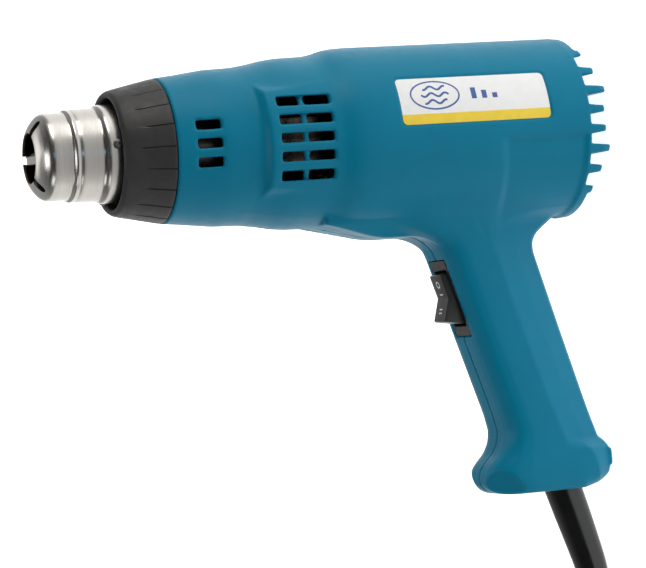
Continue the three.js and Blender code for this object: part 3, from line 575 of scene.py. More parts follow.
def curve_table(stations, low, high, blur):
    """Linear stations sampled finely and smoothed, as a function of place."""
    step = 0.25
    places = np.arange(low - 4 * blur, high + 4 * blur + step, step)
    values = np.interp(places, [s[0] for s in stations], [s[1] for s in stations])
    reach = int(round(3 * blur / step))
    kernel = np.exp(-0.5 * (np.arange(-reach, reach + 1) * step / blur) ** 2)
    padded = np.pad(values, reach, mode="edge")
    smooth = np.convolve(padded, kernel / kernel.sum(), mode="valid")
    return lambda v: np.interp(v, places, smooth)


BARREL_SKIN = [  # z, radius
    (0, 35.4), (1.4, 36.7), (4, 37.6), (8, BARREL_RADIUS), (103, BARREL_RADIUS), (109, 37.7),
    (112.8, 37.1), (116.8, 35.9), (121, 35.15), (133, 34.9), (138.5, 34.3), (145, 33),
    (152, 32), (164, 31.6), (176, 30.1), (HOUSING_FRONT_Z, 29.2),
]
CAVITY_SKIN = [
    (0, BARREL_RADIUS - WALL), (104, BARREL_RADIUS - WALL), (120, 32.4), (133, 32.2),
    (151, 29.3), (165, 28.6), (185.6, 26.6),
]
PAD_SKIN = [(118, 35.2), (147.6, 35.2), (150.3, 32.2), (158, 24)]
PAD_CORNER = (0.863, 0.5, 0.066, 40.9)  # the plane across the pad's upper and lower edges
PAD_REACH = 27.0
HANDLE_SECTION = [  # depth to either side of the crease, width
    (1, 0), (1, 0.42), (0.975, 0.64), (0.91, 0.81), (0.79, 0.925), (0.6, 0.985), (0.35, 1),
    (0, 1), (-0.5, 0.72), (-0.92, 0.44), (-1, 0.3), (-1, 0),
]
HANDLE_CREASE = [  # x, z of the edge between the side and the rear facet
    (-24, 54.5), (-39, 50.8), (-57, 45.9), (-75, 41), (-94, 35.2), (-110, 30.2), (-128, 24),
    (-132.5, 22.6), (-138, 18.6), (-151, 15.2),
]
HANDLE_TOP_X = -24.0
HEEL_FLARE_X = (-130.5, -135.0)
HEEL_FLARE = 4.0
HEEL_FLARE_FADE = 8.0  # over this depth behind the crease the flare grows to its full size
HEEL_X, HEEL_Z, HEEL_HALF_WIDTH = (-143, -135.6), (0, 9), 12.5
FINGER_BOTTOM_X, FINGER_TOP_X = -41.4, -28
FINGER_REAR_Z, FINGER_NOSE_Z = 60, 121
FINGER_SLOPE, FINGER_SLOPE_Z = 0.275, 95.5  # how its front rises, and where that starts
FINGER_HALF_WIDTH = 17
FINGER_CORNER = 51.6  # the cut across its lower side edges, as the sum of -x and |y|
SCOOP_DEPTH, SCOOP_TOP_X, SCOOP_FRONT_Z, SCOOP_REAR_Z = 1.1, -4.2, 50.5, 10
HANDLE_STATIONS = [  # x, front z, back z, half width
    (-24, 86, 14, 17.2), (-37.5, 83, 15, 17.2), (-40.5, 79, 19.5, 17.2),
    (-43.5, 73.6, 23.4, 17.2), (-47, 69.6, 25.4, 17.2), (-51, 68, 25.4, 17.2),
    (-85, 57.9, 16, 17), (-118, 47.7, 6.6, 17), (-125, 46.2, 4.4, 17.2), (-130, 47, 2.8, 17.4),
    (-134.5, 49.6, 1.6, 17.8), (-138, 53.4, 1, 18.2), (-141.5, 56, 1, 18.4),
    (-146, 56.2, 2, 18.2), (-149.6, 53.8, 6.4, 17.4), (-151, 48.5, 11.5, 16),
]
HANDLE_LEAN = math.radians(17.17)
HANDLE_BOTTOM_X = -151.0
TOE_PLANE = (-0.5, 0.62, 0.605, 110.8)  # the facet across the toe's lower corner
FIN_TIPS = (5.4, 3.4, 0.0, 2.4, 2.4, 0.0, 3.2, 5.0)
FIN_PITCH = 8.1
FIN_HALF = (1.3, 1.95)  # half thickness at the tip and at the rim
FIN_END_Z = 20
FIN_OFFSET = 0.8
SLOT_PITCH = 7.4
SLOT_HALF = 1.95
GRILLE_Z = (121.0, 131.6, 133.9, 143.6)
SMALL_SLOT_Z = (166.4, 176.7)
LABEL_Z = (27.4, 92.6)
LABEL_X = (2.2, 21.4)
HOUSING_SCREWS = [  # x, z and the head's seat
    (31.2, 28, 11), (31, 112, 10), (-31, 112, 10), (-40, 34, 9.5), (-93, 20.6, 8),
    (-138.5, 46, 10),
]
BOSS_RADIUS, HEAD_HOLE_RADIUS, SCREW_HOLE_RADIUS = 4.6, 3.4, 1.9
FRONT_HOLE_RADIUS, FRONT_WALL_Z = 26.5, 176
SIDE_CUT_Y = 20  # the side slots are cut only further out than this
GRILLE_RIB_SUNK = 1.3
LABEL_RECESS, LABEL_RECESS_CORNER = 0.7, 2.4
EXIT_X, EXIT_Z = -138, 22.3  # a point on the axis of the sleeve's neck and flange
NECK_RADIUS, FLANGE_RADIUS, FLANGE_DEPTH = 8.2, 10.2, 9
SWITCH_RIM = ((-21, 21), (-11.5, 11.5), (-6, 2))
SWITCH_SEAT = ((-17, 17), (-8.1, 8.1), (-2.5, 9))
SWITCH_HOLE = ((-14.7, 14.7), (-7.3, 7.3), (-22, 4))
SWITCH_X = -68.4
SWITCH_Z = 57.9 + (SWITCH_X + 85) * math.tan(HANDLE_LEAN)

barrel_radius_at = curve_table(BARREL_SKIN, 0, 185, 0.9)
cavity_radius_at = curve_table(CAVITY_SKIN, 0, 186, 0.9)
pad_radius_at = curve_table(PAD_SKIN, 118, 160, 0.35)
by_x = sorted(HANDLE_STATIONS)
handle_front_at, handle_back_at, handle_width_at = (
    curve_table([(s[0], s[k]) for s in by_x], HANDLE_BOTTOM_X, HANDLE_TOP_X, 1.1)
    for k in (1, 2, 3))
handle_crease_at = curve_table(sorted(HANDLE_CREASE), HANDLE_BOTTOM_X, HANDLE_TOP_X, 0.8)

SECTION_DEPTH = 20.0
SECTION_WIDTH = 17.0
SECTION_STEP = 0.25
SECTION_REACH = 26


def section_table():
    """The handle's section as a table of distances over half the section, corners rounded."""
    corners = [(f * SECTION_DEPTH, w * SECTION_WIDTH) for f, w in HANDLE_SECTION]
    mirrored = corners + [(f, -w) for f, w in reversed(corners[1:-1])]
    loop = np.array([tuple(p) for p in rounded(mirrored, 0.7, 3)])
    depth = np.arange(-SECTION_REACH, SECTION_REACH + 0.01, SECTION_STEP)
    width = np.arange(0, SECTION_REACH + 0.01, SECTION_STEP)
    gx, gy = np.meshgrid(depth, width, indexing="ij")
    far = np.full(gx.shape, 1e9)
    odd = np.zeros(gx.shape, bool)
    for (x0, y0), (x1, y1) in zip(loop, np.roll(loop, -1, axis=0)):
        ex, ey = x1 - x0, y1 - y0
        t = np.clip(((gx - x0) * ex + (gy - y0) * ey) / (ex * ex + ey * ey + 1e-12), 0, 1)
        far = np.minimum(far, np.hypot(gx - x0 - t * ex, gy - y0 - t * ey))
        if y0 != y1:
            crosses = ((gy >= min(y0, y1)) & (gy < max(y0, y1))
                       & (gx < x0 + (gy - y0) * ex / ey))
            odd ^= crosses
    return np.where(odd, -far, far)


SECTION = section_table()


def section_distance(u, v):
    """Distance to the handle's section at (u, v), from the table."""
    i = np.clip((u + SECTION_REACH) / SECTION_STEP, 0, SECTION.shape[0] - 1.001)
    j = np.clip(np.abs(v) / SECTION_STEP, 0, SECTION.shape[1] - 1.001)
    i0, j0 = i.astype(int), j.astype(int)
    s, t = i - i0, j - j0
    low = SECTION[i0, j0] * (1 - s) + SECTION[i0 + 1, j0] * s
    high = SECTION[i0, j0 + 1] * (1 - s) + SECTION[i0 + 1, j0 + 1] * s
    return low * (1 - t) + high * t


def handle_field(x, y, z):
    front, back, width = handle_front_at(x), handle_back_at(x), handle_width_at(x)
    crease = handle_crease_at(x)
    depth = np.where(z > crease, front - crease, crease - back)
    u = (z - crease) / depth * SECTION_DEPTH
    v = y / width * SECTION_WIDTH
    side = section_distance(u, v) * np.minimum((front - back) / (2 * SECTION_DEPTH),
                                               width / SECTION_WIDTH)
    flare = np.clip((HEEL_FLARE_X[0] - x) / (HEEL_FLARE_X[0] - HEEL_FLARE_X[1]), 0, 1)
    side = side - HEEL_FLARE * flare * np.clip((crease - z) / HEEL_FLARE_FADE, 0, 1)
    body = soft_max(side, HANDLE_BOTTOM_X - x, 1.6)
    toe = TOE_PLANE[0] * x + TOE_PLANE[1] * np.abs(y) + TOE_PLANE[2] * z - TOE_PLANE[3]
    body = soft_max(body, toe, 0.4)
    body = soft_max(body, 0.5 - z, 0.8)
    return np.maximum(body, x - HANDLE_TOP_X)


def finger_rest_field(x, y, z):
    bottom = FINGER_BOTTOM_X - x
    front = (bottom + (z - FINGER_SLOPE_Z) * FINGER_SLOPE) / math.hypot(1, FINGER_SLOPE)
    sides = np.abs(y) - FINGER_HALF_WIDTH
    corner = (-x + np.abs(y) - FINGER_CORNER) / math.sqrt(2)
    body = soft_max(soft_max(bottom, front, 1.5), soft_max(sides, corner, 0.3), 0.3)
    ends = np.maximum(z - FINGER_NOSE_Z, FINGER_REAR_Z - z)
    return np.maximum(np.maximum(body, ends), x - FINGER_TOP_X)


def pad_field(x, y, z, r):
    along_x, along_y, along_z, offset = PAD_CORNER
    corner = along_x * np.abs(x) + along_y * np.abs(y) + along_z * z - offset
    body = soft_max((r - pad_radius_at(z)) * 0.75, corner, 0.3)
    return np.maximum(body, np.maximum(PAD_SKIN[0][0] - z, np.abs(x) - PAD_REACH))


def hand_scoop(x, z):
    """How deep the hollow for the hand's web is, behind and below a soft ridge."""
    top = np.clip((SCOOP_TOP_X - x) / 2.2, 0, 1)
    front = np.clip((SCOOP_FRONT_Z + 0.1 * (x + 8) - z) / 4.5, 0, 1)
    rear = np.clip((z - SCOOP_REAR_Z) / 3, 0, 1)
    return SCOOP_DEPTH * ease(top) * ease(front) * ease(rear)


def outer_field(x, y, z, r):
    slope = 0.985
    barrel = (r - barrel_radius_at(z) + hand_scoop(x, z)) * slope
    barrel = soft_max(barrel, z - HOUSING_FRONT_Z, 0.4)
    barrel = soft_max(barrel, RIM_Z - z, 0.8)
    barrel = soft_min(barrel, pad_field(x, y, z, r), 0.6)
    barrel = soft_min(barrel, finger_rest_field(x, y, z), 0.9)
    spread = 1.5 + 8.5 * np.clip((np.abs(y) - 3) / 13, 0, 1) ** 1.5
    body = soft_min(barrel, handle_field(x, y, z), spread)
    heel = soft_max(slab(x, *HEEL_X), np.abs(y) - HEEL_HALF_WIDTH, 1.2)
    heel = soft_max(heel, slab(z, *HEEL_Z), 1.0)
    return soft_min(body, heel, 0.6)


def fins_field(x, y, z, r):
    """Slats across the tail, tapering towards their tips, trimmed round."""
    field = np.full(np.broadcast(x, y, z).shape, 99.0)
    for index, tip in enumerate(FIN_TIPS):
        middle = FIN_OFFSET + (index - (len(FIN_TIPS) - 1) / 2) * FIN_PITCH
        half = np.interp(z, [tip, RIM_Z], FIN_HALF)
        slat = soft_max(np.abs(x - middle) - half, tip - z, 0.5)
        field = np.minimum(field, slat)
    last = (len(FIN_TIPS) - 1) / 2 * FIN_PITCH
    plate = soft_max(-np.maximum(FIN_OFFSET - last - x, x - FIN_OFFSET - last), END_PLATE_Z - z, 0.5)
    plate = np.maximum(plate, z - RIM_Z - WALL)
    field = np.maximum(np.minimum(field, plate), z - FIN_END_Z)
    return soft_max(field, r - barrel_radius_at(z) + hand_scoop(x, z) + 0.2, 0.5)


def slots_field(x, z):
    """Negative inside the side slots."""
    field = np.full(np.broadcast(x, z).shape, 99.0)
    for k in range(5):
        across = np.abs(x - (k - 2) * SLOT_PITCH) - SLOT_HALF
        for low, high in (GRILLE_Z[:2], GRILLE_Z[2:]):
            field = np.minimum(field, soft_max(across, slab(z, low, high), 1.0))
    for k in range(3):
        across = np.abs(x - (k - 1) * SLOT_PITCH) - SLOT_HALF
        field = np.minimum(field, soft_max(across, slab(z, *SMALL_SLOT_Z), 1.0))
    return field


def grille_field(x, z):
    """Negative in the grille's rows, across the sunk rib that splits them."""
    row_middle = SLOT_PITCH * np.clip(np.round(x / SLOT_PITCH), -2, 2)
    across = np.abs(x - row_middle) - SLOT_HALF
    return soft_max(across, slab(z, GRILLE_Z[0], GRILLE_Z[3]), 1.0)


def switch_frame(x, z):
    """Along the handle and out of its front, from the switch's middle."""
    dx, dz = x - SWITCH_X, z - SWITCH_Z
    c, s = math.cos(HANDLE_LEAN), math.sin(HANDLE_LEAN)
    return c * dx + s * dz, -s * dx + c * dz


def block_field(u, v, w, us, vs, ws, k):
    return soft_max(soft_max(slab(u, *us), slab(v, *vs), k), slab(w, *ws), k)


def housing_field(x, y, z, side):
    """Distance to one half of the housing; side is -1 for the left one."""
    r = np.hypot(x, y)
    outer = outer_field(x, y, z, r)
    hollow = np.maximum(r - cavity_radius_at(z), RIM_Z - 3 - z)
    handle_hollow = np.maximum(handle_field(x, y, z) + WALL + 0.2, -147.6 - x)
    shell = soft_max(outer, -soft_min(hollow, handle_hollow, 2.0), 0.5)
    along, out = switch_frame(x, z)
    rim = np.maximum(block_field(along, y, out, *SWITCH_RIM, 0.5), outer)
    shell = np.minimum(shell, rim)
    for sx, sz, _ in HOUSING_SCREWS:
        boss = np.hypot(x - sx, z - sz) - BOSS_RADIUS
        shell = np.minimum(shell, np.maximum(boss, outer))
    shell = soft_min(shell, fins_field(x, y, z, r), 0.4)
    c, s = math.cos(HANDLE_LEAN), math.sin(HANDLE_LEAN)
    ahead = -(x - EXIT_X) * c - (z - EXIT_Z) * s
    aside = np.hypot(y, (z - EXIT_Z) * c - (x - EXIT_X) * s)
    flange = np.maximum(-ahead, ahead - FLANGE_DEPTH)
    beside = SIDE_CUT_Y - np.abs(y)
    cuts = [
        np.maximum(r - FRONT_HOLE_RADIUS, FRONT_WALL_Z - z),
        block_field(along, y, out, *SWITCH_SEAT, 0.4),
        block_field(along, y, out, *SWITCH_HOLE, 0.4),
        np.maximum(aside - NECK_RADIUS, -ahead),
        np.maximum(aside - FLANGE_RADIUS, flange),
        np.maximum(slots_field(x, z), beside),
        np.maximum(grille_field(x, z), np.maximum(-outer - GRILLE_RIB_SUNK, beside)),
    ]
    if side < 0:
        round_place = BARREL_RADIUS * np.arcsin(np.clip(x / np.maximum(r, 1), -1, 1))
        low, high = (BARREL_RADIUS * math.asin(v / BARREL_RADIUS) for v in LABEL_X)
        patch = soft_max(slab(round_place, low - GAP, high + GAP),
                         slab(z, LABEL_Z[0] - GAP, LABEL_Z[1] + GAP), LABEL_RECESS_CORNER)
        cuts.append(np.maximum(patch, BARREL_RADIUS - LABEL_RECESS - r))
    else:
        for sx, sz, seat in HOUSING_SCREWS:
            away = np.hypot(x - sx, z - sz)
            cuts += [np.maximum(away - HEAD_HOLE_RADIUS, seat - y), away - SCREW_HOLE_RADIUS]
    shell = soft_max(shell, -union(*cuts), 0.55)
    return soft_max(shell, GAP / 2 - side * y, 0.45)


# ---- field meshing


def field_mesh(field, low, high, step):
    """Points and quads of the surface where the field is zero: one point in each crossed cell,
    moved onto the surface."""
    axes = [np.arange(a, b + step, step) for a, b in zip(low, high)]
    values = np.empty([len(a) for a in axes], np.float32)
    y, z = np.meshgrid(axes[1], axes[2], indexing="ij")
    for i, x in enumerate(axes[0]):
        values[i] = field(np.full_like(y, x), y, z)
    cells = np.array(values.shape) - 1
    sums = np.zeros((cells.prod(), 3))
    counts = np.zeros(cells.prod())
    strides = np.array([cells[1] * cells[2], cells[2], 1])
    crossings = []
    for axis in range(3):
        first = [slice(None)] * 3
        second = [slice(None)] * 3
        first[axis], second[axis] = slice(0, -1), slice(1, None)
        a, b = values[tuple(first)], values[tuple(second)]
        where = np.argwhere((a < 0) != (b < 0))
        others = [k for k in range(3) if k != axis]
        keep = np.ones(len(where), bool)
        for k in others:
            keep &= (where[:, k] > 0) & (where[:, k] < cells[k])
        where = where[keep]
        va, vb = a[tuple(where.T)], b[tuple(where.T)]
        spot = where.astype(float)
        spot[:, axis] += va / (va - vb)
        corners = []
        for da, db in ((0, 0), (1, 0), (1, 1), (0, 1)):
            cell = where.copy()
            cell[:, others[0]] -= da
            cell[:, others[1]] -= db
            flat = cell @ strides
            for k in range(3):
                sums[:, k] += np.bincount(flat, spot[:, k], len(sums))
            counts += np.bincount(flat, minlength=len(counts))
            corners.append(flat)
        quads = np.stack(corners, 1)
        flip = (va < 0) == (axis == 1)
        quads[flip] = quads[flip][:, ::-1]
        crossings.append(quads)
    used = np.flatnonzero(counts)
    index = np.full(len(counts), -1)
    index[used] = np.arange(len(used))
    points = np.array(low) + sums[used] / counts[used, None] * step
    points = settle(field, points, step)
    return points, index[np.concatenate(crossings)]


def settle(field, points, step):
    """Moves points onto the surface along the field's slope."""
    near = 0.05
    for _ in range(4):
        here = field(*points.T)
        slope = np.stack([
            (field(*(points + shift).T) - field(*(points - shift).T)) / (2 * near)
            for shift in np.eye(3) * near
        ], 1)
        move = here[:, None] * slope / np.maximum((slope ** 2).sum(1), 0.2)[:, None]
        size = np.linalg.norm(move, axis=1)
        move *= np.minimum(1, 0.35 * step / np.maximum(size, 1e-9))[:, None]
        points = points - move
    return points


def make_housing(name, node, side, step):
    reach = 41.0
    ys = (-reach, 0.6) if side < 0 else (-0.6, reach)
    points, quads = field_mesh(
        lambda x, y, z: housing_field(x, y, z, side),
        (HANDLE_BOTTOM_X - 2, ys[0], -1.5), (BARREL_RADIUS + 2, ys[1], HOUSING_FRONT_Z + 2), step)
    points[:, 0] += AXIS_X
    piece = make_object(name, points * MM, quads, TEAL, "gun")
    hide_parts(node)


HOUSING_STEP = 0.95
make_housing("left_half", "housing_left", -1, HOUSING_STEP)
make_housing("right_half", "housing_right", 1, HOUSING_STEP)

# ---- label


LABEL_RADIUS = BARREL_RADIUS - 0.4
LABEL_CORNER = 2.0
LABEL_BAND = 0.205  # share of the label's width taken by the coloured band at its lower edge
label_low, label_high = (math.asin(v / BARREL_RADIUS) for v in LABEL_X)
LABEL_WIDTH = (label_high - label_low) * LABEL_RADIUS
LABEL_LENGTH = LABEL_Z[1] - LABEL_Z[0]


def on_label(s, t, lift=0.0):
    """The point s up the label's width and t along it from its tail end, in millimetres."""
    angle = label_low + s / LABEL_RADIUS
    radius = LABEL_RADIUS + lift
    return row(radius * math.sin(angle), -radius * math.cos(angle), LABEL_Z[0] + t)


def make_label():
    """A thin printed film with rounded corners, bent round the barrel."""
    white = Look("label", (0.8, 0.8, 0.785), 0.34)
    white.vary_color(white.noise(300, 2), (0.78, 0.78, 0.765), (0.81, 0.81, 0.795))
    yellow = Look("label_band", (0.82, 0.58, 0.02), 0.34)
    yellow.vary_color(yellow.noise(300, 2), (0.79, 0.56, 0.02), (0.83, 0.6, 0.025))
    across = sorted({0.0, 1.0, LABEL_BAND, *(k / 16 for k in range(17))})
    corner_places = [LABEL_CORNER * (1 - math.cos(math.radians(10 * k))) for k in range(10)]
    along = corner_places + [LABEL_LENGTH * k / 24 for k in range(1, 24)]
    along += [LABEL_LENGTH - v for v in reversed(corner_places)]
    points, faces, looks = [], [], []
    for t in along:
        edge = LABEL_CORNER - min(t, LABEL_LENGTH - t, LABEL_CORNER)
        inset = LABEL_CORNER - math.sqrt(max(LABEL_CORNER ** 2 - edge ** 2, 0))
        for share in across:
            place = min(max(share * LABEL_WIDTH, inset), LABEL_WIDTH - inset)
            points.append(on_label(place, t))
    count = len(across)
    for i in range(len(along) - 1):
        for k in range(count - 1):
            a = i * count + k
            faces.append((a, a + 1, a + count + 1, a + count))
            looks.append(int(across[k] < LABEL_BAND - 1e-6))
    label = make_object("label_film", points, faces, white.material, "gun")
    label.data.materials.append(yellow.material)
    label.data.polygons.foreach_set("material_index", looks)
    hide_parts("rating_label")


def ribbon(points, width, closed=False):
    """Left and right edges of a flat line of that width through 2-D points."""
    count = len(points)
    pairs = []
    for i, (x, y) in enumerate(points):
        x0, y0 = points[(i - 1) % count] if closed or i else points[0]
        x1, y1 = points[(i + 1) % count] if closed or i < count - 1 else points[-1]
        size = math.hypot(x1 - x0, y1 - y0) or 1.0
        nx, ny = -(y1 - y0) / size * width / 2, (x1 - x0) / size * width / 2
        pairs.append(((x + nx, y + ny), (x - nx, y - ny)))
    return pairs


def make_marks(name, lines, place, look, body):
    """Printed lines, each (2-D points, width, closed), put on a surface by place(a, b)."""
    points, faces = [], []
    for outline, width, closed in lines:
        start = len(points)
        pairs = ribbon(outline, width, closed)
        for left, right in pairs:
            points += [place(*left), place(*right)]
        for i in range(len(pairs) if closed else len(pairs) - 1):
            a, b = start + 2 * i, start + 2 * ((i + 1) % len(pairs))
            faces.append((a, b, b + 1, a + 1))
    return make_object(name, points, faces, look, body)


def make_label_print():
    """A plain warm-air sign: three waves in an oval, and three heat bars."""
    ink = Look("label_ink", (0.03, 0.09, 0.3), 0.36)
    ink.vary_roughness(ink.noise(300, 2), 0.32, 0.4)
    middle_s, middle_t = 0.6 * LABEL_WIDTH, 0.76 * LABEL_LENGTH
    oval = [(middle_s + 6.2 * math.sin(math.radians(6 * k)),
             middle_t + 10.5 * math.cos(math.radians(6 * k))) for k in range(60)]
    lines = [(oval, 0.7, True)]
    for k in (-1, 0, 1):
        wave = [(middle_s + 3.1 * k + 0.8 * math.sin(1.05 * t), middle_t + t)
                for t in np.linspace(-6 + abs(k), 6 - abs(k), 25)]
        lines.append((wave, 0.9, False))
    for k, length in enumerate((5.0, 3.6, 2.2)):
        t = 0.5 * LABEL_LENGTH - 4.6 * k
        bar = [(middle_s - 2.5 + s, t) for s in np.linspace(0, length, 6)]
        lines.append((bar, 2.2, False))
    make_marks("label_print", lines, lambda s, t: on_label(s, t, 0.03), ink.material, "gun")


make_label_print()
make_label()

# ---- guard

GUARD_RIBS = 20
GUARD_REAR_Z = HOUSING_FRONT_Z + GAP
GUARD_FRONT_Z = 205.5
RIB_DEPTH, GROOVE_DEPTH, GROOVE_SHARE = 0.16, 0.6, 0.94
RIB_REACH, RIB_REACH_CHANGE = 13.5, 1.6  # how far forward the ribs go, and how much that varies


def guard_relief(angle, r, z):
    """Shallow saw-tooth ribs, each ending in a fine groove, on the guard's outside."""
    if r < 25.2 or z < GUARD_REAR_Z + 0.01:
        return 0.0
    turn = angle / (2 * math.pi) * GUARD_RIBS
    share = turn % 1.0
    reach = RIB_REACH + RIB_REACH_CHANGE * math.sin(2.4 * math.floor(turn))
    fade = min(max((GUARD_REAR_Z + reach - z) / 2.5, 0), 1)
    groove = GROOVE_DEPTH if share > GROOVE_SHARE else 0.0
    return -(RIB_DEPTH * (1 - share) + groove) * fade


def make_guard():
    rear, front = GUARD_REAR_Z, GUARD_FRONT_Z
    corners = [
        (23.8, 178), (26.2, 178), (26.2, rear), (29, rear), (29, rear + 1), (25.6, front - 3.6),
        (25, front - 1.4), (24, front), (22.8, front - 0.2), (22, front - 1.2), (22.2, front - 4),
        (24.6, rear + 2),
    ]
    shaped = rounded(corners, 0.5, 3)
    outline = []
    for a, b in zip(shaped, shaped[1:] + shaped[:1]):
        pieces = max(1, int((b - a).length / 1.2))
        outline += [a.lerp(b, k / pieces) for k in range(pieces)]
    guard = lathe("nozzle_collar", outline, GUARD, "guard", 560, guard_relief, 45)
    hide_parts("nozzle_guard")


make_guard()

# ---- nozzle


def cutter(name, points, faces):
    mesh = bpy.data.meshes.new(name)
    mesh.from_pydata([tuple(p) for p in points], [], faces)
    return add_object(name, mesh)


def prism(name, outline, low, high):
    """An (x, y) outline in the gun's frame pushed from one z to another."""
    count = len(outline)
    points = [row(a, b, level) for level in (low, high) for a, b in outline]
    faces = [tuple(reversed(range(count))), tuple(range(count, 2 * count))]
    faces += [(k, (k + 1) % count, count + (k + 1) % count, count + k) for k in range(count)]
    return cutter(name, points, faces)


def cut_with(piece, tools, operation="DIFFERENCE"):
    """Applies exact booleans with the tools, which are then removed."""
    for tool in tools:
        fix_normals(tool)
        modifier = piece.modifiers.new("cut", "BOOLEAN")
        modifier.operation = operation
        modifier.solver = "EXACT"
        modifier.object = tool
    bpy.context.view_layer.update()
    graph = bpy.context.evaluated_depsgraph_get()
    made = bpy.data.meshes.new_from_object(piece.evaluated_get(graph))
    piece.modifiers.clear()
    piece.data = made
    for tool in tools:
        bpy.data.objects.remove(tool)


NOZZLE_OUTSIDE = [  # radius, z
    (19.7, 196), (19.7, 209.4), (18.6, 211.2), (18.5, 219.6), (18.2, 221), (18.45, 222),
    (18.2, 222.7), (17.4, 223.3), (17.4, 229.8), (17.3, 231.5), (16.55, 233.1), (15.1, 234.6),
    (13.2, 236), (11.3, 237.05), (9.8, NOZZLE_TIP_Z),
]
NOZZLE_INSIDE = [
    (9.8, NOZZLE_TIP_Z - 1.4), (11, 235.7), (12.7, 234.7), (14.3, 233.4), (15.5, 232),
    (16.1, 230.2), (16.1, 222.4), (17.2, 221.2), (17.2, 211.6), (18.4, 209.2), (18.4, 196),
]
NOZZLE_SLOT_HALF = 1.6
NOZZLE_SLOT_REACH = 15.9
BRIDGE_HALF = (2.2, 14.6)
BRIDGE_Z = (232.8, 234.4)


def nozzle_slot(index):
    """A radial slot with a round outer end."""
    middle = NOZZLE_SLOT_REACH - NOZZLE_SLOT_HALF
    outline = [(8.0, -NOZZLE_SLOT_HALF)]
    for k in range(13):
        angle = math.radians(-90 + 15 * k)
        outline.append((middle + NOZZLE_SLOT_HALF * math.cos(angle),
                        NOZZLE_SLOT_HALF * math.sin(angle)))
    outline.append((8.0, NOZZLE_SLOT_HALF))
    turn = math.radians(90 + 120 * index)
    c, n = math.cos(turn), math.sin(turn)
    turned = [(a * c - b * n, a * n + b * c) for a, b in outline]
    return prism(f"slot_{index}", turned, NOZZLE_TIP_Z - 6, NOZZLE_TIP_Z + 1)


def make_nozzle():
    outline = rounded(NOZZLE_OUTSIDE + NOZZLE_INSIDE, 0.8, 4)
    nozzle = lathe("nozzle_body", outline, STEEL, "gun", 192)
    fix_normals(nozzle)
    cut_with(nozzle, [nozzle_slot(k) for k in range(3)])
    bx, by = BRIDGE_HALF
    bar = prism("bridge", [(-bx, -by), (bx, -by), (bx, by), (-bx, by)], *BRIDGE_Z)
    cut_with(nozzle, [bar], "UNION")
    nozzle.data.materials.clear()
    nozzle.data.materials.append(STEEL)
    nozzle.data.materials.append(LOOKS["burnt_steel"])
    step_z, mouth_radius, tube_radius = 200, 16.3, 18.45
    inside = []
    for face in nozzle.data.polygons:
        out = Vector((face.center.x - AXIS_X * MM, face.center.y, 0))
        reach = out.length / MM
        height = face.center.z / MM
        facing_in = face.normal.dot(out) < -0.2 * out.length
        under = face.normal.z < -0.5 and height > step_z and reach < mouth_radius
        inside.append(int((facing_in or under) and reach < tube_radius))
    nozzle.data.polygons.foreach_set("material_index", inside)
    shade(nozzle.data, 30)
    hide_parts("nozzle_tube")


make_nozzle()

# ---- switch

SWITCH_ALONG = Vector((math.cos(HANDLE_LEAN), 0, math.sin(HANDLE_LEAN)))
SWITCH_OUT = Vector((-math.sin(HANDLE_LEAN), 0, math.cos(HANDLE_LEAN)))
ROCKER_PIVOT_Z = -2.6
ROCKER_TILT = math.radians(16)
ROCKER_OUTLINE = [
    (0, 5.4), (9.3, 8), (9.9, 7.4), (11.2, 0), (10.2, -4.4), (6, -6.4), (-6, -6.4),
    (-10.2, -4.4), (-11.2, 0), (-9.9, 7.4), (-9.3, 8),
]


def on_switch(along, aside, out):
    """A point of the switch's own frame: up the handle, to the right side, out of its front."""
    start = row(SWITCH_X, 0, SWITCH_Z)
    return start + (SWITCH_ALONG * along + SWITCH_OUT * out) * MM + Vector((0, aside * MM, 0))


def rounded_rectangle(half_a, half_b, radius, steps=5):
    corners = [(half_a, half_b), (-half_a, half_b), (-half_a, -half_b), (half_a, -half_b)]
    made = []
    for i, (a, b) in enumerate(corners):
        ca, cb = math.copysign(abs(a) - radius, a), math.copysign(abs(b) - radius, b)
        for k in range(steps + 1):
            angle = math.radians((45, 135, 225, 315)[i] - 45 + 90 * k / steps)
            made.append((ca + radius * math.cos(angle), cb + radius * math.sin(angle)))
    return made


def make_switch_body():
    """The bezel, the deep well that the rocker sits in, and the box behind them."""
    rings = [  # half length, half width, corner radius, level
        (14.4, 7.0, 0.8, -18), (14.4, 7.0, 0.8, -2.2), (16.5, 7.6, 1.0, -2.2),
        (16.7, 7.8, 1.2, -2.0), (16.7, 7.8, 1.2, -0.9), (16.55, 7.65, 1.1, -0.6),
        (16.3, 7.4, 1.0, -0.5), (12.7, 6.55, 0.7, -0.5), (12.45, 6.3, 0.6, -0.6),
        (12.3, 6.15, 0.5, -0.9), (12.3, 6.15, 0.5, -13),
    ]
    points = []
    for half_a, half_b, radius, level in rings:
        points += [on_switch(a, b, level) for a, b in rounded_rectangle(half_a, half_b, radius)]
    faces = capped_grid(len(rings), len(points) // len(rings))
    body = make_object("switch_housing", points, faces, SWITCH, "gun", 35)
    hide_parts("switch_body")


def rocker_point(a, aside, c):
    """A point of the rocker's outline, turned to its rest position."""
    turn_c, turn_s = math.cos(ROCKER_TILT), math.sin(ROCKER_TILT)
    return on_switch(a * turn_c + c * turn_s, aside, ROCKER_PIVOT_Z - a * turn_s + c * turn_c)


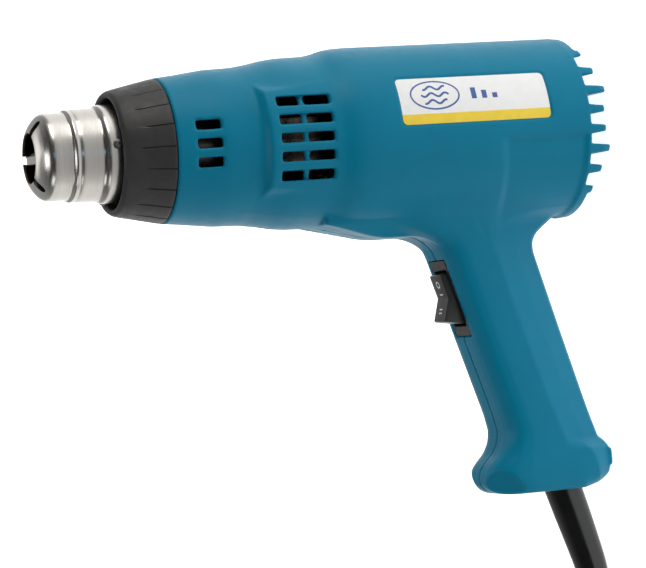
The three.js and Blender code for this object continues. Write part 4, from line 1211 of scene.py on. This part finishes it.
def make_rocker():
    """The rocker, with its side edges rounded over."""
    outline = rounded(ROCKER_OUTLINE, 0.5, 3)
    points = []
    levels = [(-5.8, 0.45), (-5.66, 0.14), (-5.35, 0), (5.35, 0), (5.66, 0.14), (5.8, 0.45)]
    for aside, inset in levels:
        for a, c in outline:
            size = math.hypot(a, c)
            points.append(rocker_point(a * (1 - inset / size), aside, c * (1 - inset / size)))
    faces = capped_grid(len(levels), len(outline))
    rocker = make_object("rocker_key", points, faces, SWITCH, "rocker", 35)
    fix_normals(rocker)
    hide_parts("switch_rocker")


def make_rocker_marks():
    """The three positions, printed across the two slopes of the rocker's face."""
    ink = Look("mark_white", (0.75, 0.75, 0.73), 0.5)
    ink.vary_roughness(ink.noise(300, 2), 0.45, 0.55)
    half, line_width, lift = 1.5, 0.55, 0.04
    ring = [(5.6 + 1.2 * math.cos(math.radians(20 * k)), half * math.sin(math.radians(20 * k)))
            for k in range(18)]
    lines = [(ring, line_width, True)]
    for at in (1.5, -4.6, -6.1):
        lines.append(([(at, -half), (at, half)], line_width, False))
    (_, low), (end, high) = ROCKER_OUTLINE[:2]
    slope = (high - low) / end
    make_marks("rocker_marks", lines, lambda a, b: rocker_point(a, b, low + slope * abs(a) + lift),
               ink.material, "rocker")


make_switch_body()
make_rocker()
make_rocker_marks()

# ---- small parts


def make_screw(name, node, start, axis, outline, recess, look=ZINC):
    """A turned screw with a cross recess in its head; the outline ends at the head's top."""
    points, faces = lathe_between(outline, start, axis)
    screw = make_object(name, points, faces, look, "gun")
    fix_normals(screw)
    axis = axis.normalized()
    side = axis.orthogonal().normalized()
    top = outline[-1][1]
    tools = []
    for k in range(2):
        across = axis.cross(side) if k else side
        wide = axis.cross(across)
        corners = []
        for depth, reach in ((top + 1, recess), (top - 0.9, 0.55 * recess)):
            for a, b in ((-1, -1), (1, -1), (1, 1), (-1, 1)):
                offset = across * (a * reach) + wide * (b * 0.17 * recess)
                corners.append(start + (axis * depth + offset) * MM)
        box_faces = [(0, 1, 2, 3), (7, 6, 5, 4)]
        box_faces += [(i, 4 + i, 4 + (i + 1) % 4, (i + 1) % 4) for i in range(4)]
        tools.append(cutter(f"{name}_tool_{k}", corners, box_faces))
    cut_with(screw, tools)
    shade(screw.data, 35)
    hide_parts(node)


def make_screws():
    for k, (x, z, seat) in enumerate(HOUSING_SCREWS):
        node = f"housing_screw_{k + 1}"
        low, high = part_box(node)
        tail, head = low.y / MM, high.y / MM
        outline = [(0.6, tail), (1.5, tail + 1.5), (1.5, seat), (3.05, seat),
                   (3.1, seat + 0.4), (2.9, head - 0.5), (2.3, head - 0.1), (1.4, head)]
        make_screw(f"case_screw_{k + 1}", node, row(x, 0, z), Vector((0, 1, 0)), outline, 1.5)
    for k in range(3):
        node = f"nozzle_screw_{k + 1}"
        low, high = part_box(node)
        middle = (low + high) / 2
        out = Vector((middle.x - AXIS_X * MM, middle.y, 0)).normalized()
        outline = [(1.85, -0.58), (1.9, -0.1), (1.7, 0.35), (1.2, 0.58)]
        make_screw(f"collar_screw_{k + 1}", node, middle, out, outline, 0.9, DARK_ZINC)


make_screws()

# ---- stage


def make_floor():
    """A white floor that glows, more behind the gun than in front of it."""
    mesh = bpy.data.meshes.new("floor")
    size = 6.0
    mesh.from_pydata([(-size, -size, 0), (size, -size, 0), (size, size, 0), (-size, size, 0)],
                     [], [(0, 1, 2, 3)])
    floor = add_object("floor", mesh)
    look = Look("floor_white", (0.9, 0.9, 0.9), 0.9, Specular_IOR_Level=0.1)
    look.set("Emission Color", (1, 1, 1, 1))
    split = look.nodes.new("ShaderNodeSeparateXYZ")
    look.link(look.place, split.inputs["Vector"])
    # The glow is painted light: it lifts the floor to white, fills in the gun's shadow on it and
    # lights the gun's downward faces.
    glow = look.remap(split.outputs["Y"], 0.3, 0.92, -0.4, -0.1)
    look.link(glow, look.shader.inputs["Emission Strength"])
    mesh.materials.append(look.material)


def area_light(name, place, aim, size, power, color=(1, 1, 1), spread=180):
    data = bpy.data.lights.new(name, "AREA")
    data.spread = math.radians(spread)
    data.shape = "RECTANGLE"
    data.size, data.size_y = size
    data.energy = power
    data.color = color
    light = add_object(name, data)
    light.location = place
    light.rotation_mode = "QUATERNION"
    light.rotation_quaternion = (Vector(aim) - Vector(place)).to_track_quat("-Z", "Y")


def make_world():
    """A soft white room, bright behind the gun and dim on the side it is looked at from."""
    world = bpy.data.worlds.new("studio")
    bpy.context.scene.world = world
    world.use_nodes = True
    nodes, links = world.node_tree.nodes, world.node_tree.links
    background = nodes["Background"]
    background.inputs["Color"].default_value = (0.985, 0.99, 1, 1)
    split = nodes.new("ShaderNodeSeparateXYZ")
    links.new(nodes.new("ShaderNodeTexCoord").outputs["Generated"], split.inputs["Vector"])
    remap = map_range(nodes, 0.05, 0.5, -0.2, 0.7)
    links.new(split.outputs["Y"], remap.inputs["Value"])
    links.new(remap.outputs["Result"], background.inputs["Strength"])


def make_stage():
    make_floor()
    make_world()
    area_light("overhead", (0.5, 1.3, 1.9), (0.4, 1.2, 0), (1.6, 2.0), 8, spread=120)
    area_light("key", (1.28, -0.5, 0.3), (0, 0, 0.1), (0.9, 0.5), 8.0, (1, 0.985, 0.96))
    area_light("fill", (-1.2, -0.5, 0.55), (-0.05, 0, 0.1), (0.6, 0.6), 2.4)
    area_light("lamp", (-0.1, -0.4, 1.45), (-0.05, 0, 0.1), (0.6, 0.6), 4.2)
    area_light("window", (0.1, -1.5, 0.42), (0, 0, 0.2), (0.12, 0.5), 0.5, (0.45, 0.7, 1))
    bpy.context.scene.view_settings.view_transform = "Standard"


make_stage()
